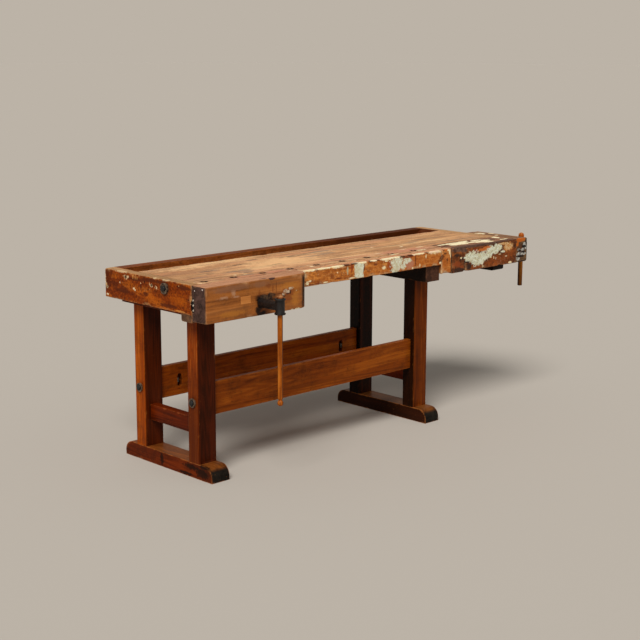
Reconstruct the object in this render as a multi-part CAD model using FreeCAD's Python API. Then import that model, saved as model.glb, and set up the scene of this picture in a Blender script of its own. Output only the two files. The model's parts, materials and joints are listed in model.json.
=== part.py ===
import FreeCAD, Part
import math
import os

from FreeCAD import Vector

# Joiner's bench: two trestles, a top with a tool tray, a front vise and a tail vise.
# Lengths are millimetres. While it is drawn, x runs right from the left trestle's
# left face, y runs back from the front ends of the feet, and z runs up from the floor.

# Overall sizes
bench_height = 820.0
top_thickness = 70.0
top_length = 1912.0
top_overhang = 516.0

# Trestles
post_width = 94.0
post_depth = 70.0
post_chamfer = 4.0
post_gap = 288.0
foot_height = 64.0
foot_toe = 80.0
foot_round = 45.0
bearer_height = 74.0
bearer_setback = 12.0
tenon_length = 40.0
tenon_shoulder = 15.0
cross_rail_height = 69.0
cross_rail_thickness = 40.0
cross_rail_setback = 27.0
cross_rail_underside = 178.0
cross_tenon_length = 28.0
cross_tenon_shoulder = 10.0

# Stretchers and the bolts that hold them
stretcher_height = 140.0
stretcher_thickness = 26.0
stretcher_underside = 254.0
stub_length = 9.0
stub_shoulder = 8.0
bolt_diameter = 12.0
bolt_clearance = 0.6
bolt_head_diameter = 22.0
bolt_head_height = 8.0
bolt_head_dome = 3.0
bolt_tail = 8.0
bolt_seat = 4.0
post_washer_diameter = 38.0
washer_thickness = 4.0
washer_lip = 4.0
washer_lip_height = 3.0
nut_size = 20.0
nut_thickness = 10.0
nut_fit = 0.05
slot_width = 24.0
slot_height = 56.0
slot_depth = 23.4
slot_distance = 108.0
bolt_past_nut = 4.0

# Top
dog_strip_front = 53.0
dog_strip_width = 45.0
tray_front = 466.0
tray_width = 118.0
tray_depth = 54.0
tray_board = 16.0
tray_groove = 8.0
rear_rail_width = 56.0
rear_rail_height = 96.0
ramp_length = 96.0
end_cap_thickness = 48.0
end_cap_height = 123.0
tongue_length = 14.0
tongue_thickness = 20.0
tongue_end_margin = 12.0
wood_arris = 2.5
worn_arris = 5.0
peg_diameter = 24.0
peg_length = 60.0
peg_inset = 60.0
peg_fit = 0.1

# Dog holes
dog_hole_first = 42.0
dog_hole_pitch = 156.5
dog_hole_length = 30.0
dog_hole_width = 25.0

# Bench bolts through the end caps
cap_bolt_behind_strip = 126.0
cap_bolt_behind_cross = 60.0
cap_bolt_length = 132.0
cap_washer_diameter = 46.0
cap_slot_length = 24.0
cap_slot_width = 30.0

# Front vise
chop_length = 563.0
chop_thickness = 88.0
chop_height = 148.0
chop_corner = 55.0
chop_arris = 5.0
chop_side_gap = 1.0
face_gap = 0.3
slide_gap = 0.5
front_travel_length = 180.0
inner_jaw_length = 540.0
inner_jaw_depth = 67.0
inner_jaw_drop = 84.0
inner_jaw_round = 12.0
front_screw_inset = 288.0
front_screw_drop = 95.0
front_screw_diameter = 34.0
neck_diameter = 38.0
front_neck_length = 115.0
front_guide_spread = 75.0
front_guide_diameter = 24.0
front_guide_tail = 20.0
front_guide_bury = 60.0
running_clearance = 0.05
bore_clearance = 1.0
hub_diameter = 38.0
hub_flange_diameter = 46.0
hub_flange_height = 6.0
hub_height = 66.0
collar_width = 12.0
collar_wall = 8.0
collar_pocket_gap = 0.4
collar_pin_diameter = 6.0
front_nut_flange_length = 100.0
front_nut_flange_height = 46.0
front_nut_flange_thickness = 10.0
nut_body_wall = 7.0
nut_screw_diameter = 8.0
nut_screw_length = 32.0
nut_screw_inset = 13.0
nut_screw_head = 12.0
nut_screw_head_height = 4.0
screw_past_nut = 20.0
inlay_inset = 180.0
inlay_below_top = 58.0
inlay_length = 53.0
inlay_height = 31.0
inlay_depth = 8.0
guide_plate_width = 14.0
guide_plate_height = 61.0
guide_plate_thickness = 5.0
guide_plate_drop = 51.0
guide_plate_pocket = 9.0
plate_screw_count = 3
plate_screw_diameter = 4.0
plate_screw_head = 8.0
plate_screw_head_height = 2.5
plate_screw_length = 25.0
plate_screw_pitch = 20.0
jaw_screw_diameter = 10.0
jaw_screw_length = 110.0
jaw_screw_head = 18.0
jaw_screw_head_height = 6.0
jaw_screw_edge = 24.0
jaw_screw_rear_inset = 12.0
jaw_screw_recess = 20.0

# Handles
front_handle_diameter = 22.0
front_handle_length = 461.0
handle_knob_diameter = 29.0
front_knob_height = 17.0
knob_round = 6.0
end_knob_diameter = 25.0
end_knob_neck = 16.0
end_knob_neck_height = 8.0
handle_round = 2.0
tail_handle_diameter = 24.0
tail_handle_length = 272.0
tail_knob_height = 33.0
handle_fit = 0.1

# Tail vise
fixed_jaw_length = 76.0
fixed_jaw_drop = 44.0
tail_opening = 439.0
fixed_jaw_round = 14.0
tail_jaw_round = 6.0
cheek_tenon_length = 32.0
cheek_tenon_shoulder = 14.0
tail_width = 130.5
tail_height = 120.0
tail_jaw_length = 99.0
tail_cover_thickness = 30.0
tail_cross_thickness = 88.0
tail_cross_depth = 320.0
tail_cross_round = 12.0
tail_travel_length = 180.0
tail_screw_diameter = 32.0
tail_screw_back = 92.0
tail_screw_drop = 58.0
tail_neck_length = 70.0
tail_nut_flange = 50.0
tail_nut_flange_thickness = 8.0
tail_nut_screw_length = 24.0
tail_nut_screw_inset = 8.0
tail_dog_inset = 42.0
tail_strip_depth = 16.0
tail_strip_height = 18.0
tail_strip_rise = 64.0
tail_strip_clear = 20.0
tail_guide_diameter = 24.0
tail_guide_rear_inset = 40.0
tail_guide_rise = 22.0
tail_guide_length = 420.0
tail_guide_bury = 60.0
support_bar_width = 80.0
support_bar_drop = 24.0
support_bar_inset = 32.0
support_bar_front = 14.0
support_bar_rear = 340.0
support_bar_round = 12.0
support_screw_inset = 22.0
support_screw_recess = 10.0
support_screw_length = 100.0
cutter_overrun = 2.0
angle_tolerance = 1.0

# Levels and lines that follow from the sizes above
trestle_spacing = top_length - top_overhang - post_width
top_underside = bench_height - top_thickness
post_top = top_underside - bearer_height
foot_length = foot_toe + post_depth + post_gap + post_depth + foot_toe
front_post_y = foot_toe
rear_post_y = foot_toe + post_depth + post_gap
top_rear = tray_front + tray_width + rear_rail_width
strip_rear = dog_strip_front + dog_strip_width
cap_underside = bench_height - end_cap_height
tray_level = bench_height - tray_depth
cap_left_x = -end_cap_thickness
cap_right_x = top_length + end_cap_thickness
chop_rear = dog_strip_front - face_gap
chop_front = chop_rear - chop_thickness
chop_right = cap_left_x + chop_length
chop_underside = bench_height - chop_height
inner_jaw_rear = dog_strip_front + inner_jaw_depth
inner_jaw_underside = top_underside - inner_jaw_drop
front_screw_x = cap_left_x + front_screw_inset
front_screw_z = bench_height - front_screw_drop
front_hub_y = chop_front - front_neck_length
front_nut_rear = inner_jaw_rear + front_nut_flange_thickness
front_screw_end = front_nut_rear + front_travel_length + screw_past_nut
jaw_x = top_length - tail_opening
tail_x = jaw_x + slide_gap
fixed_jaw_x = jaw_x - fixed_jaw_length
dog_hole_count = int((fixed_jaw_x - dog_hole_first) / dog_hole_pitch) + 1
tail_jaw_end = tail_x + tail_jaw_length
tail_underside = bench_height - tail_height
cheek_rear = dog_strip_front - slide_gap
cover_underside = bench_height - tail_cover_thickness
cross_x = cap_right_x + slide_gap
cross_outer_x = cross_x + tail_cross_thickness
tail_screw_z = bench_height - tail_screw_drop
tail_hub_x = cross_outer_x + tail_neck_length
tail_nut_x = top_length - tail_nut_flange_thickness
tail_screw_end = tail_nut_x - tail_travel_length - screw_past_nut
tail_notch_y = tail_width + slide_gap
tail_guide_y = tail_cross_depth - tail_guide_rear_inset
tail_guide_z = tail_underside + tail_guide_rise
support_x = top_length - support_bar_inset - support_bar_width
stretcher_mid_z = stretcher_underside + stretcher_height / 2
bolt_z = stretcher_mid_z - bolt_seat
left_cap_bolt_y = strip_rear + cap_bolt_behind_strip
right_cap_bolt_y = tail_cross_depth + cap_bolt_behind_cross
cap_bolt_z = bench_height - top_thickness / 2
knob_proud = hub_flange_diameter / 2
left_extent = cap_left_x - washer_thickness - bolt_head_height
right_extent = tail_hub_x + knob_proud
front_extent = front_hub_y - knob_proud
origin = Vector((left_extent + right_extent) / 2, (front_extent + top_rear) / 2, 0)

along_x = Vector(1, 0, 0)
along_y = Vector(0, 1, 0)
along_z = Vector(0, 0, 1)


# A box between two corners
def block(x0, y0, z0, x1, y1, z1):
    return Part.makeBox(x1 - x0, y1 - y0, z1 - z0, Vector(x0, y0, z0))


# A round bar that starts at a point and runs along a direction
def rod(start, direction, length, diameter):
    return Part.makeCylinder(diameter / 2, length, start, direction)


# A ring: a round bar with a round hole
def ring(start, direction, length, outer, inner):
    return rod(start, direction, length, outer).cut(rod(start, direction, length, inner))


# The straight edges of a solid that run along one direction
def edges_along(solid, direction):
    found = []
    for edge in solid.Edges:
        if edge.Curve.TypeId != "Part::GeomLine":
            continue
        lined_up = abs(edge.tangentAt(edge.FirstParameter).dot(direction))
        if lined_up > math.cos(math.radians(angle_tolerance)):
            found.append(edge)
    return found


# Round the edges along a direction, or only those that a test picks
def soften(solid, radius, direction, pick=None):
    chosen = edges_along(solid, direction)
    if pick:
        chosen = [edge for edge in chosen if pick(edge.CenterOfMass)]
    return solid.makeFillet(radius, chosen)


# A plank whose long arrises are eased
def plank(x0, y0, z0, x1, y1, z1, direction, arris):
    return soften(block(x0, y0, z0, x1, y1, z1), arris, direction)


# A bolt head: a low cylinder with a rounded crown
def round_head(base, direction, diameter, height, crown):
    head = rod(base, direction, height, diameter)
    rim = [edge for edge in head.Edges
           if edge.Curve.TypeId == "Part::GeomCircle"
           and (edge.CenterOfMass - base).dot(direction) > height / 2]
    return head.makeFillet(crown, rim)


# A turned cup washer: a disc with a raised lip round its rim
def cup_washer(seat, direction, diameter, bolt):
    hole = bolt + 2 * bolt_clearance
    disc = ring(seat, direction, washer_thickness, diameter, hole)
    lip_start = seat + direction * washer_thickness
    lip = ring(lip_start, direction, washer_lip_height, diameter, diameter - 2 * washer_lip)
    return disc.fuse(lip).removeSplitter()


# A square nut with its bore, centred on a point
def square_nut(centre, direction, bolt):
    half = nut_size / 2
    thick = nut_thickness / 2
    if abs(direction.x) > 0:
        body = block(centre.x - thick, centre.y - half, centre.z - half,
                     centre.x + thick, centre.y + half, centre.z + half)
    else:
        body = block(centre.x - half, centre.y - thick, centre.z - half,
                     centre.x + half, centre.y + thick, centre.z + half)
    bore_start = centre - direction * nut_size
    return body.cut(rod(bore_start, direction, 2 * nut_size, bolt + 2 * nut_fit))


# A wood screw or coach screw that starts at a seat and is driven along a direction
def driven_screw(seat, direction, length, shank, head, head_height):
    body = rod(seat, direction, length, shank)
    cap = round_head(seat, direction * -1, head, head_height, head_height / 2)
    return body.fuse(cap).removeSplitter()


# A rectangular tenon inside a section, standing on a plane at level z
def tenon_up(x0, y0, x1, y1, z0, length, shoulder):
    return block(x0 + shoulder, y0 + shoulder, z0, x1 - shoulder, y1 - shoulder, z0 + length)


# Bolt hole along x
def bolt_hole(x0, x1, y, z, diameter):
    start = Vector(x0 - cutter_overrun, y, z)
    return rod(start, along_x, x1 - x0 + 2 * cutter_overrun, diameter + 2 * bolt_clearance)


# Hole for a guide or screw along y
def hole_y(x, z, y0, y1, diameter):
    start = Vector(x, y0 - cutter_overrun, z)
    return rod(start, along_y, y1 - y0 + 2 * cutter_overrun, diameter)


# Hole for a guide or screw along x
def hole_x(y, z, x0, x1, diameter):
    start = Vector(x0 - cutter_overrun, y, z)
    return rod(start, along_x, x1 - x0 + 2 * cutter_overrun, diameter)


nodes = {}


def keep(name, solids):
    if not isinstance(solids, list):
        solids = [solids]
    nodes[name] = solids


# Trestles
def stretcher_y(post_y):
    return post_y + (post_depth - stretcher_thickness) / 2


def stretcher_stub(x0, x1, y):
    return block(x0, y, stretcher_underside + stub_shoulder,
                 x1, y + stretcher_thickness, stretcher_underside + stretcher_height - stub_shoulder)


def cross_rail(x):
    x0 = x + cross_rail_setback
    x1 = x0 + cross_rail_thickness
    y0 = front_post_y + post_depth
    z0 = cross_rail_underside
    z1 = z0 + cross_rail_height
    rail = plank(x0, y0, z0, x1, rear_post_y, z1, along_y, wood_arris)
    tenons = []
    for start, end in ((y0 - cross_tenon_length, y0), (rear_post_y, rear_post_y + cross_tenon_length)):
        tenons.append(block(x0 + cross_tenon_shoulder, start, z0 + cross_tenon_shoulder,
                            x1 - cross_tenon_shoulder, end, z1 - cross_tenon_shoulder))
    return rail, tenons


def post(x, y, inner_side, cross_tenons):
    x1 = x + post_width
    y1 = y + post_depth
    body = block(x, y, foot_height, x1, y1, post_top)
    body = body.makeChamfer(post_chamfer, edges_along(body, along_z))
    lower = tenon_up(x, y, x1, y1, foot_height - tenon_length, tenon_length, tenon_shoulder)
    upper = tenon_up(x, y, x1, y1, post_top, tenon_length, tenon_shoulder)
    body = body.fuse([lower, upper]).removeSplitter()
    stub_y = stretcher_y(y)
    if inner_side > 0:
        stub = stretcher_stub(x1 - stub_length, x1, stub_y)
    else:
        stub = stretcher_stub(x, x + stub_length, stub_y)
    bolt = bolt_hole(x, x1, stub_y + stretcher_thickness / 2, bolt_z, bolt_diameter)
    return body.cut([stub, bolt] + cross_tenons)


def post_tenons(x, y):
    x1 = x + post_width
    y1 = y + post_depth
    lower = tenon_up(x, y, x1, y1, foot_height - tenon_length, tenon_length, tenon_shoulder)
    upper = tenon_up(x, y, x1, y1, post_top, tenon_length, tenon_shoulder)
    return lower, upper


def foot(x, lower_tenons):
    body = block(x, 0, 0, x + post_width, foot_length, foot_height)
    body = soften(body, foot_round, along_x, lambda middle: middle.z > foot_height / 2)
    return body.cut(lower_tenons)


def peg_spots(x):
    return [Vector(x + post_width / 2, y, top_underside - peg_length / 2)
            for y in (inner_jaw_rear + peg_inset, tray_front - peg_inset)]


def bearer(x, y0, upper_tenons):
    body = plank(x, y0, post_top, x + post_width, foot_length, top_underside, along_y, wood_arris)
    holes = [rod(spot, along_z, peg_length, peg_diameter + 2 * peg_fit)
             for spot in peg_spots(x)]
    return body.cut(upper_tenons + holes)


peg_places = []
for side, x in (("left", 0.0), ("right", trestle_spacing)):
    rail, rail_tenons = cross_rail(x)
    keep("cross_rail_" + side, rail.fuse(rail_tenons).removeSplitter())
    lower_front, upper_front = post_tenons(x, front_post_y)
    lower_rear, upper_rear = post_tenons(x, rear_post_y)
    inner_side = 1 if side == "left" else -1
    keep("post_front_" + side, post(x, front_post_y, inner_side, rail_tenons))
    keep("post_rear_" + side, post(x, rear_post_y, inner_side, rail_tenons))
    keep("foot_" + side, foot(x, [lower_front, lower_rear]))
    bearer_y = inner_jaw_rear if side == "left" else bearer_setback
    keep("bearer_" + side, bearer(x, bearer_y, [upper_front, upper_rear]))
    peg_places += peg_spots(x)

left_upper_tenon = post_tenons(0.0, front_post_y)[1]


# Stretchers
def nut_slot(x, y, opens_rear):
    round_r = slot_width / 2
    low = bolt_z - slot_height / 2 + round_r
    high = bolt_z + slot_height / 2 - round_r
    y0 = y + stretcher_thickness - slot_depth if opens_rear else y - cutter_overrun
    depth = slot_depth + cutter_overrun
    slot = block(x - round_r, y0, low, x + round_r, y0 + depth, high)
    ends = [rod(Vector(x, y0, z), along_y, depth, slot_width) for z in (low, high)]
    return slot.fuse(ends)


def slot_places():
    return (post_width + slot_distance, trestle_spacing - slot_distance)


def stretcher(y, opens_rear):
    x0 = post_width
    x1 = trestle_spacing
    z1 = stretcher_underside + stretcher_height
    body = plank(x0, y, stretcher_underside, x1, y + stretcher_thickness, z1, along_x, wood_arris)
    stubs = [stretcher_stub(x0 - stub_length, x0, y), stretcher_stub(x1, x1 + stub_length, y)]
    body = body.fuse(stubs).removeSplitter()
    slots = [nut_slot(x, y, opens_rear) for x in slot_places()]
    mid_y = y + stretcher_thickness / 2
    left, right = slot_places()
    reach = bolt_tail + nut_thickness
    bores = [bolt_hole(x0 - stub_length, left + reach, mid_y, bolt_z, bolt_diameter),
             bolt_hole(right - reach, x1 + stub_length, mid_y, bolt_z, bolt_diameter)]
    return body.cut(slots + bores)


keep("stretcher_front", stretcher(stretcher_y(front_post_y), True))
keep("stretcher_rear", stretcher(stretcher_y(rear_post_y), False))

stretcher_bolts = []
stretcher_washers = []
stretcher_nuts = []
for post_y in (front_post_y, rear_post_y):
    mid_y = stretcher_y(post_y) + stretcher_thickness / 2
    for outer_x, nut_x, way in ((0.0, slot_places()[0], 1),
                                (trestle_spacing + post_width, slot_places()[1], -1)):
        inward = along_x * way
        seat = Vector(outer_x, mid_y, bolt_z)
        stretcher_washers.append(cup_washer(seat, inward * -1, post_washer_diameter, bolt_diameter))
        head_seat = seat - inward * washer_thickness
        nut_centre = Vector(nut_x - way * (slot_width - nut_thickness) / 2, mid_y, bolt_z)
        length = abs(nut_centre.x - head_seat.x) + nut_thickness / 2 + bolt_past_nut
        shank = rod(head_seat, inward, length, bolt_diameter)
        head = round_head(head_seat, inward * -1, bolt_head_diameter, bolt_head_height, bolt_head_dome)
        stretcher_bolts.append(shank.fuse(head).removeSplitter())
        stretcher_nuts.append(square_nut(nut_centre, along_x, bolt_diameter))


# Dog holes along the front strip
def dog_hole_x(index):
    return dog_hole_first + index * dog_hole_pitch


def dog_cutters(z0, z1):
    half = dog_hole_length / 2
    y1 = strip_rear
    y0 = y1 - dog_hole_width
    return [block(dog_hole_x(i) - half, y0, z0, dog_hole_x(i) + half, y1, z1)
            for i in range(dog_hole_count)]


# Top: slab, dog-hole strip, front edge, tray and rear rail
def end_tongue(x0, x1, y0, y1):
    middle = (top_underside + bench_height) / 2
    return block(x0, y0 + tongue_end_margin, middle - tongue_thickness / 2,
                 x1, y1 - tongue_end_margin, middle + tongue_thickness / 2)


def cap_bolt_bore(y, x0, x1):
    return hole_x(y, cap_bolt_z, x0, x1, bolt_diameter + 2 * bolt_clearance)


def cap_nut_spots():
    return (cap_bolt_length - end_cap_thickness - bolt_tail,
            top_length - cap_bolt_length + end_cap_thickness + bolt_tail)


def cap_nut_slot(x, y):
    half_x = cap_slot_length / 2
    half_y = cap_slot_width / 2
    return block(x - half_x, y - half_y, top_underside - cutter_overrun,
                 x + half_x, y + half_y, cap_bolt_z + half_y)


left_tongue = end_tongue(-tongue_length, 0, strip_rear, tray_front)
right_tongue = end_tongue(top_length, top_length + tongue_length, tail_notch_y, tray_front)
peg_cutters = [rod(spot, along_z, peg_length, peg_diameter + 2 * peg_fit) for spot in peg_places]
tray_rebate = block(0, tray_front - tray_groove, tray_level - tray_board,
                    top_length, tray_front, tray_level)
rail_groove_y = tray_front + tray_width
rail_groove = block(0, rail_groove_y, tray_level - tray_board,
                    top_length, rail_groove_y + tray_groove, tray_level)
tail_notch = block(jaw_x, strip_rear - cutter_overrun, top_underside - cutter_overrun,
                   top_length + cutter_overrun, tail_notch_y, bench_height + cutter_overrun)

slab = block(0, strip_rear, top_underside, top_length, tray_front, bench_height)
slab = soften(slab, wood_arris, along_x,
              lambda middle: middle.z > cap_bolt_z and middle.y > strip_rear)
slab = slab.fuse([left_tongue, right_tongue]).removeSplitter()
slab_cuts = [tail_notch, tray_rebate]
left_nut_x, right_nut_x = cap_nut_spots()
slab_cuts += [cap_nut_slot(left_nut_x, left_cap_bolt_y), cap_nut_slot(right_nut_x, right_cap_bolt_y)]
bore_past_nut = bolt_tail + nut_thickness
slab_cuts.append(cap_bolt_bore(left_cap_bolt_y, -tongue_length, left_nut_x + bore_past_nut))
slab_cuts.append(cap_bolt_bore(right_cap_bolt_y, right_nut_x - bore_past_nut, top_length + tongue_length))

dog_strip = block(0, dog_strip_front, top_underside, jaw_x, strip_rear, bench_height)
dog_strip = dog_strip.cut(dog_cutters(top_underside - cutter_overrun, bench_height + cutter_overrun))
keep("dog_hole_strip", dog_strip.cut(peg_cutters))

edge_x = chop_right + chop_side_gap
front_edge = block(edge_x, 0, top_underside, fixed_jaw_x, dog_strip_front, bench_height)
front_edge = soften(front_edge, worn_arris, along_x, lambda middle: middle.y < dog_strip_front / 2)
keep("front_edge_board", front_edge)

tray_floor = block(0, tray_front - tray_groove, tray_level - tray_board,
                   top_length, rail_groove_y + tray_groove, tray_level)
keep("tray_floor", tray_floor.cut(peg_cutters))

rear_rail = plank(0, rail_groove_y, bench_height - rear_rail_height,
                  top_length, top_rear, bench_height, along_x, wood_arris)
bearer_notches = [block(x, rail_groove_y - cutter_overrun, post_top, x + post_width,
                        foot_length, top_underside) for x in (0.0, trestle_spacing)]
keep("rear_rail", rear_rail.cut([rail_groove] + bearer_notches))


# Sloping block at each end of the tray
def tray_ramp(x_end, way):
    low = Vector(x_end + way * ramp_length, tray_front, tray_level)
    corners = [Vector(x_end, tray_front, tray_level), low,
               Vector(x_end + way * wood_arris, tray_front, bench_height),
               Vector(x_end, tray_front, bench_height)]
    face = Part.Face(Part.makePolygon(corners + corners[:1]))
    return face.extrude(Vector(0, tray_width, 0))


keep("tray_ramp_left", tray_ramp(0, 1))
keep("tray_ramp_right", tray_ramp(top_length, -1))


# End caps
def end_cap(x0, tongue, y0, bolt_y):
    x1 = x0 + end_cap_thickness
    cap = block(x0, y0, cap_underside, x1, top_rear, bench_height)
    cap = soften(cap, wood_arris, along_y)
    cap = soften(cap, worn_arris, along_z, lambda middle: middle.y > bolt_y)
    return cap.cut([tongue, cap_bolt_bore(bolt_y, x0, x1)])


keep("end_cap_left", end_cap(cap_left_x, left_tongue, dog_strip_front, left_cap_bolt_y))

# The front of the right end cap is lowered so that the tail vise can slide over it
cap_step = block(top_length - cutter_overrun, dog_strip_front - cutter_overrun,
                 cover_underside - slide_gap,
                 cap_right_x + cutter_overrun, tail_notch_y, bench_height + cutter_overrun)
tail_nut_body = tail_screw_diameter + 2 * nut_body_wall
tail_nut_bore = hole_x(tail_screw_back, tail_screw_z, top_length, cap_right_x, tail_nut_body)
tail_guide_bore = hole_x(tail_guide_y, tail_guide_z, top_length, cap_right_x,
                         tail_guide_diameter + 2 * running_clearance)
right_cap = end_cap(top_length, right_tongue, dog_strip_front, right_cap_bolt_y)


# Four screw places round a flange in the y-z or x-z plane
def flange_corners(inset, flange):
    reach = flange / 2 - inset
    return [(a * reach, b * reach) for a in (-1, 1) for b in (-1, 1)]


tail_nut_screws = []
tail_pilot_holes = []
for side, up in flange_corners(tail_nut_screw_inset, tail_nut_flange):
    seat = Vector(tail_nut_x, tail_screw_back + side, tail_screw_z + up)
    tail_nut_screws.append(driven_screw(seat, along_x, tail_nut_screw_length,
                                        plate_screw_diameter, plate_screw_head, plate_screw_head_height))
    tail_pilot_holes.append(rod(seat, along_x, tail_nut_screw_length, plate_screw_diameter))
keep("tail_nut_screws", tail_nut_screws)
keep("end_cap_right", right_cap.cut([cap_step, tail_nut_bore, tail_guide_bore] + tail_pilot_holes))

tail_nut = block(tail_nut_x, tail_screw_back - tail_nut_flange / 2, tail_screw_z - tail_nut_flange / 2,
                 top_length, tail_screw_back + tail_nut_flange / 2, tail_screw_z + tail_nut_flange / 2)
tail_nut = tail_nut.fuse(rod(Vector(top_length, tail_screw_back, tail_screw_z), along_x,
                             end_cap_thickness, tail_nut_body))
tail_nut = tail_nut.cut([hole_x(tail_screw_back, tail_screw_z, tail_nut_x, cap_right_x,
                                tail_screw_diameter + 2 * running_clearance)] + tail_pilot_holes)
keep("tail_vise_nut", tail_nut)

cap_bolts = []
cap_washers = []
cap_nuts = []
for outer_x, nut_x, bolt_y, way in ((cap_left_x, left_nut_x, left_cap_bolt_y, 1),
                                    (cap_right_x, right_nut_x, right_cap_bolt_y, -1)):
    inward = along_x * way
    seat = Vector(outer_x, bolt_y, cap_bolt_z)
    cap_washers.append(cup_washer(seat, inward * -1, cap_washer_diameter, bolt_diameter))
    head_seat = seat - inward * washer_thickness
    nut_centre = Vector(nut_x - way * (cap_slot_length - nut_thickness) / 2, bolt_y, cap_bolt_z)
    length = abs(nut_centre.x - head_seat.x) + nut_thickness / 2 + bolt_past_nut
    shank = rod(head_seat, inward, length, bolt_diameter)
    head = round_head(head_seat, inward * -1, bolt_head_diameter, bolt_head_height, bolt_head_dome)
    cap_bolts.append(shank.fuse(head).removeSplitter())
    cap_nuts.append(square_nut(nut_centre, along_x, bolt_diameter))
keep("end_cap_bolts", cap_bolts)
keep("end_cap_washers", cap_washers)
keep("end_cap_nuts", cap_nuts)
keep("stretcher_bolts", stretcher_bolts)
keep("stretcher_washers", stretcher_washers)
keep("stretcher_nuts", stretcher_nuts)
keep("locating_pegs", [rod(spot, along_z, peg_length, peg_diameter) for spot in peg_places])

# Front vise: the inner jaw is a beam under the top that holds the nut and the guides
guide_places = [front_screw_x - front_guide_spread, front_screw_x + front_guide_spread]
inner_right = cap_left_x + inner_jaw_length
inner_jaw = block(cap_left_x, dog_strip_front, inner_jaw_underside,
                  inner_right, inner_jaw_rear, top_underside)
inner_jaw = soften(inner_jaw, inner_jaw_round, along_x,
                   lambda middle: middle.z < post_top and middle.y > dog_strip_front)
cap_clearance = block(cap_left_x - cutter_overrun, 0, cap_underside,
                      0, top_rear, bench_height)
post_housing = block(0, 0, 0, post_width, top_rear, post_top)
front_nut_body = front_screw_diameter + 2 * nut_body_wall
jaw_cuts = [cap_clearance, post_housing, left_upper_tenon]
jaw_cuts += dog_cutters(0, bench_height)
jaw_cuts.append(hole_y(front_screw_x, front_screw_z, dog_strip_front, inner_jaw_rear, front_nut_body))
jaw_cuts += [hole_y(x, front_screw_z, dog_strip_front, inner_jaw_rear,
                    front_guide_diameter + 2 * running_clearance) for x in guide_places]


# Nut plate behind the inner jaw, with one screw at each end of its flange
front_nut_screws = []
front_pilot_holes = []
nut_screw_reach = front_nut_flange_length / 2 - nut_screw_inset
nut_screw_total = nut_screw_length + front_nut_flange_thickness
for way in (-1, 1):
    seat = Vector(front_screw_x + way * nut_screw_reach, front_nut_rear, front_screw_z)
    front_nut_screws.append(driven_screw(seat, along_y * -1, nut_screw_total,
                                         nut_screw_diameter, nut_screw_head, nut_screw_head_height))
    front_pilot_holes.append(rod(seat, along_y * -1, nut_screw_total, nut_screw_diameter))
keep("front_nut_screws", front_nut_screws)

front_nut = block(front_screw_x - front_nut_flange_length / 2, inner_jaw_rear,
                  front_screw_z - front_nut_flange_height / 2,
                  front_screw_x + front_nut_flange_length / 2, front_nut_rear,
                  front_screw_z + front_nut_flange_height / 2)
front_nut = front_nut.fuse(rod(Vector(front_screw_x, dog_strip_front, front_screw_z), along_y,
                               inner_jaw_depth, front_nut_body)).removeSplitter()
front_nut = front_nut.cut([hole_y(front_screw_x, front_screw_z, dog_strip_front, front_nut_rear,
                                  front_screw_diameter + 2 * running_clearance)] + front_pilot_holes)
keep("front_vise_nut", front_nut)

# Coach screws that hold the inner jaw up against the slab
jaw_screw_y = inner_jaw_rear - jaw_screw_rear_inset
guide_right = guide_places[1]
jaw_screw_right = inner_right - jaw_screw_edge
jaw_screw_spots = [post_width + jaw_screw_edge, (guide_right + jaw_screw_right) / 2, jaw_screw_right]


def coach_screw(x, y, underside, recess, length):
    seat = Vector(x, y, underside + recess)
    solid = driven_screw(seat, along_z, length, jaw_screw_diameter, jaw_screw_head, jaw_screw_head_height)
    recess_hole = rod(Vector(x, y, underside - cutter_overrun), along_z,
                      recess + cutter_overrun, jaw_screw_head + bore_clearance)
    return solid, [recess_hole, rod(seat, along_z, length, jaw_screw_diameter)]


jaw_screws = []
coach_cuts = []
for x in jaw_screw_spots:
    solid, cuts = coach_screw(x, jaw_screw_y, inner_jaw_underside, jaw_screw_recess, jaw_screw_length)
    jaw_screws.append(solid)
    coach_cuts += cuts
keep("inner_jaw_screws", jaw_screws)
keep("front_vise_inner_jaw", inner_jaw.cut(jaw_cuts + front_pilot_holes + coach_cuts))

# Front chop: rounded at its right front corner, with pockets for its ironwork
chop = block(cap_left_x, chop_front, chop_underside, chop_right, chop_rear, bench_height)
chop = soften(chop, chop_corner, along_z,
              lambda middle: middle.x > front_screw_x and middle.y < 0)
chop = soften(chop, worn_arris, along_x, lambda middle: middle.y < 0)
chop = soften(chop, chop_arris, along_z, lambda middle: middle.x < front_screw_x and middle.y < 0)
collar_diameter = front_screw_diameter + 2 * collar_wall
collar_y = chop_rear - collar_pocket_gap - collar_width
collar_pocket = rod(Vector(front_screw_x, collar_y, front_screw_z), along_y,
                    collar_width + cutter_overrun, collar_diameter + 2 * bore_clearance)
inlay_x = cap_left_x + inlay_inset
inlay_top = bench_height - inlay_below_top
inlay = block(inlay_x, chop_front, inlay_top - inlay_height,
              inlay_x + inlay_length, chop_front + inlay_depth, inlay_top)
plate_top = bench_height - guide_plate_drop
plate_underside = plate_top - guide_plate_height
plate_pocket = block(cap_left_x - cutter_overrun, chop_rear - guide_plate_width, plate_underside,
                     cap_left_x + guide_plate_pocket, chop_rear + cutter_overrun, plate_top)
plate_x = cap_left_x + guide_plate_pocket
guide_plate = block(plate_x - guide_plate_thickness, chop_rear - guide_plate_width,
                    plate_underside, plate_x, chop_rear, plate_top)
plate_screws = []
plate_holes = []
for i in range(plate_screw_count):
    z = plate_top - guide_plate_height / 2 + (i - (plate_screw_count - 1) / 2) * plate_screw_pitch
    seat = Vector(plate_x - guide_plate_thickness, chop_rear - guide_plate_width / 2, z)
    plate_screws.append(driven_screw(seat, along_x, plate_screw_length, plate_screw_diameter,
                                     plate_screw_head, plate_screw_head_height))
    plate_holes.append(rod(seat, along_x, plate_screw_length, plate_screw_diameter))
guide_bars = []
guide_start = chop_rear - front_guide_bury
guide_end = inner_jaw_rear + front_travel_length + front_guide_tail
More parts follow.
